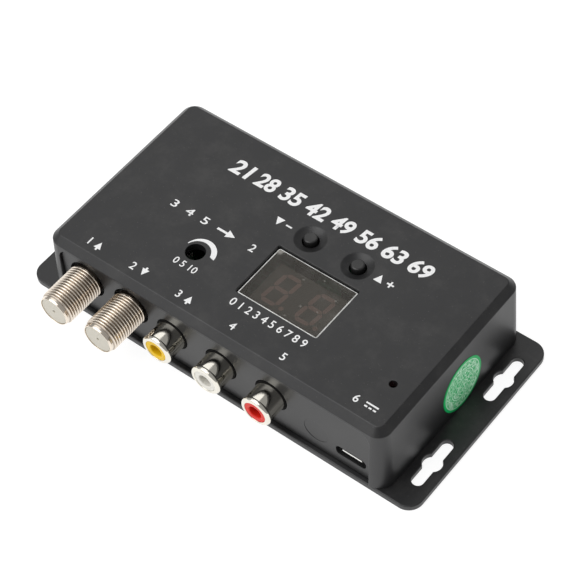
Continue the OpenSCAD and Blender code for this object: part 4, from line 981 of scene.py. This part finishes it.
def joined(name, pieces):
    """Several solids as one mesh."""
    shape = bmesh.new()
    for piece in pieces:
        shape.from_mesh(piece.data)
        bpy.data.objects.remove(piece)
    mesh = bpy.data.meshes.new(name)
    shape.to_mesh(mesh)
    shape.free()
    return new_object(name, mesh)


def digits(text, left, low, height, right=None, weight=0.1, slant=0.0):
    """Generic numbers laid on the top from a place along X, stretched only where a right end is given."""
    words = bpy.data.curves.new("digits", "FONT")
    half = 0.5
    words.body, words.size, words.bevel_depth, words.shear, words.extrude = text, 10.0, weight, slant, half
    piece = settle(new_object("digits", words))
    xs, ys = [v.co.x for v in piece.data.vertices], [v.co.y for v in piece.data.vertices]
    scale_y = height / (max(ys) - min(ys))
    scale_x = (right - left) / (max(xs) - min(xs)) if right else scale_y
    thick = 2 * (half + weight)
    scale = Matrix.Diagonal((scale_x, scale_y, (INK_HIGH - INK_LOW) / thick, 1))
    fit = at(left, low, (INK_LOW + INK_HIGH) / 2) @ scale @ at(-min(xs), -min(ys))
    return tidy_mesh(moved(piece, fit), 1e-5)


def ink(outline):
    return flat_piece("ink", [outline], INK_LOW, INK_HIGH)


def arrow(x, y, size, turn=0.0, shaft=0.0):
    """A small arrow head, with a shaft of the given length behind it."""
    tip, back, wide, narrow = size * 0.55, -size * 0.45, size * 0.5, size * 0.13
    upper = [(back, wide)] + ([(back, narrow), (back - shaft, narrow)] if shaft else [])
    outline = [(tip, 0)] + upper + [(px, -py) for px, py in reversed(upper)]
    c, s = cos(radians(turn)), sin(radians(turn))
    return ink([(x + px * c - py * s, y + px * s + py * c) for px, py in outline])


def bar(x, y, length, width):
    return ink([(x + sx * length / 2, y + sy * width / 2) for sx, sy in ((-1, -1), (1, -1), (1, 1), (-1, 1))])


def plus(x, y, length, width):
    far, near = length / 2, width / 2
    return ink([(x + px * c - py * s, y + px * s + py * c) for c, s in ((1, 0), (0, 1), (-1, 0), (0, -1))
                for px, py in ((far, near), (near, near), (near, far))])


def crescent():
    """The swelling arc round the adjuster, from its thin tip to its blunt end."""
    outer, inner, tip_x, tip_y = (-16.38, -10.52, 4.27), (-16.96, -10.89, 3.57), -20.54, -9.76
    tip_out, tip_in = (atan2(tip_y - arc[1], tip_x - arc[0]) for arc in (outer, inner))
    end_out, end_in = radians(1.5), radians(12.8)

    def sweep(cx, cy, r, first, last):
        return [(cx + dx, cy + dy) for dx, dy in (polar(r, a) for a in spaced(first, last, 40))]

    return ink(sweep(*outer, end_out, tip_out) + sweep(*inner, tip_in, end_in))


def make_print():
    numbers = ("21", "28", "35", "42", "49", "56", "63", "69")
    left, right, width = -27.5, 32.6, 6.1
    pitch = (right - left - width) / (len(numbers) - 1)
    scale = [digits(n, left + i * pitch, 14.0, 4.7, left + i * pitch + width, weight=0.3, slant=0.12)
             for i, n in enumerate(numbers)]
    sockets = [digits("1", -40.4, -24.1, 2.2), arrow(-37.4, -23.0, 2.0, 90, 0.6),
               digits("2", -27.4, -23.9, 2.2), arrow(-23.4, -22.8, 2.0, -90, 0.6),
               digits("3", -13.0, -24.0, 2.2), arrow(-9.3, -22.9, 2.0, 90, 0.6),
               digits("4", 3.1, -24.0, 2.2), digits("5", 18.2, -24.0, 2.2), digits("6", 38.6, -23.4, 2.2)]
    sockets += [bar(x, y, length, 0.42) for x, y, length in (
        (43.4, -21.8, 3.4), (42.2, -22.8, 0.8), (43.4, -22.8, 0.8), (44.6, -22.8, 0.8))]
    signs = [arrow(-6.9, 8.4, 2.3, -90), bar(-3.9, 8.4, 1.7, 0.45), arrow(23.2, 8.3, 2.3, 90),
             plus(26.4, 8.3, 1.9, 0.45)]
    routes = [digits("3  4  5", -31.9, -3.1, 2.3, -20.6), arrow(-13.6, -2.0, 2.4, 0, 3.0),
              digits("2", -7.6, -3.1, 2.3)]
    dial = [crescent(), digits("0 5 10", -20.1, -16.4, 2.0, -13.3, weight=0.08)]
    caption = [digits("0 1 2 3 4 5 6 7 8 9", -1.25, -18.3, 2.3, 21.0, weight=0.08)]
    for name, pieces in (("channel_numbers", scale), ("socket_numbers", sockets), ("button_signs", signs),
                         ("signal_route", routes), ("adjuster_dial", dial), ("display_numbers", caption)):
        place(joined(name, pieces), "print_ink")


# Finishes of the nodes that keep their own shape

def finish_inner_nodes():
    slots = {part["node"]: part["material_slot"] for part in frame["record"]["subparts"]}
    for name, item in frame["nodes"].items():
        item.data.materials.clear()
        item.data.materials.append(FINISHES[slots[name]])


# Studio and camera

WORLD_LIGHT, WORLD_SEEN = 0.34, 1.1
CAMERA_TURNS, CAMERA_DISTANCE, CAMERA_SHIFT = (41.1406, 52.0551, -4.1850), 0.498593, (3.8317, -7.0100, 0)
SENSOR, FOCAL_PIXELS, PHOTO_PIXELS = 36.0, 1994.37, 580


def area_light(name, towards, distance, width, height, radiance):
    """A soft panel of light at a direction from the object, facing it."""
    data = bpy.data.lights.new(name, "AREA")
    data.shape, data.size, data.size_y = "RECTANGLE", width, height
    data.energy = radiance * pi * width * height
    lamp = new_object(name, data)
    direction = Vector(towards).normalized()
    lamp.location = direction * distance
    lamp.rotation_euler = (-direction).to_track_quat("-Z", "Y").to_euler()


def make_studio():
    """A pale floor that glows a little, a soft world that shows whiter than it lights, and three lights."""
    world = bpy.data.worlds.new("studio")
    world.use_nodes = True
    tree = world.node_tree
    background = tree.nodes["Background"].inputs
    seen = node(tree, "ShaderNodeLightPath").outputs["Is Camera Ray"]
    tree.links.new(ramp(seen, 0.0, 1.0, WORLD_LIGHT, WORLD_SEEN, "LINEAR"), background["Strength"])
    background["Color"].default_value = (1, 1, 1, 1)
    bpy.context.scene.world = world
    half, low = 3, -2e-5
    mesh = bpy.data.meshes.new("floor")
    mesh.from_pydata([(-half, -half, low), (half, -half, low), (half, half, low), (-half, half, low)], [],
                     [(0, 1, 2, 3)])
    floor = new_object("floor", mesh)
    floor.data.materials.append(bare_finish("pale_paper", {
        "Roughness": 0.9, "Base Color": (0.3, 0.3, 0.3, 1), "Emission Color": (1, 1, 1, 1),
        "Emission Strength": 0.86})[0])
    area_light("key", (-0.3, -0.4, 0.9), 1.2, 1.1, 1.1, 2.4)
    area_light("back", (-0.45, 0.5, 0.8), 1.4, 1.0, 1.0, 0.85)
    area_light("front", (-0.4, -0.85, 0.4), 1.2, 1.2, 0.7, 0.85)
    bpy.context.scene.view_settings.view_transform = "Standard"


def make_camera():
    """The camera that was fitted to the photograph's straight edges."""
    azimuth, elevation, roll = (radians(a) for a in CAMERA_TURNS)
    back = Vector((sin(azimuth) * cos(elevation), -cos(azimuth) * cos(elevation),
                   sin(elevation)))
    right = Vector((cos(azimuth), sin(azimuth), 0))
    up = back.cross(right)
    across = right * cos(roll) + up * sin(roll)
    upright = up * cos(roll) - right * sin(roll)
    data = bpy.data.cameras.new("photo_view")
    data.sensor_width, data.lens = SENSOR, SENSOR * FOCAL_PIXELS / PHOTO_PIXELS
    data.clip_start, data.clip_end = 0.01, 20
    camera = new_object("photo_view", data)
    spot = back * CAMERA_DISTANCE - Vector(CAMERA_SHIFT) * MM
    camera.matrix_world = at(*spot) @ Matrix((across, upright, back)).transposed().to_4x4()
    bpy.context.scene.camera = camera


finish_inner_nodes()
make_base_plate()
make_cover()
make_panel()
for which, x in AERIALS.items():
    make_aerial_socket(which, x)
for (which, x), tint in zip(PHONOS.items(), ("yellow_insulator", "white_insulator", "red_insulator")):
    make_phono_socket(which, x, tint)
make_power_shell()
make_window()
for which, x in BUTTONS.items():
    make_stem(which, x)
make_sticker()
make_case_screws()
make_print()
make_studio()
make_camera()
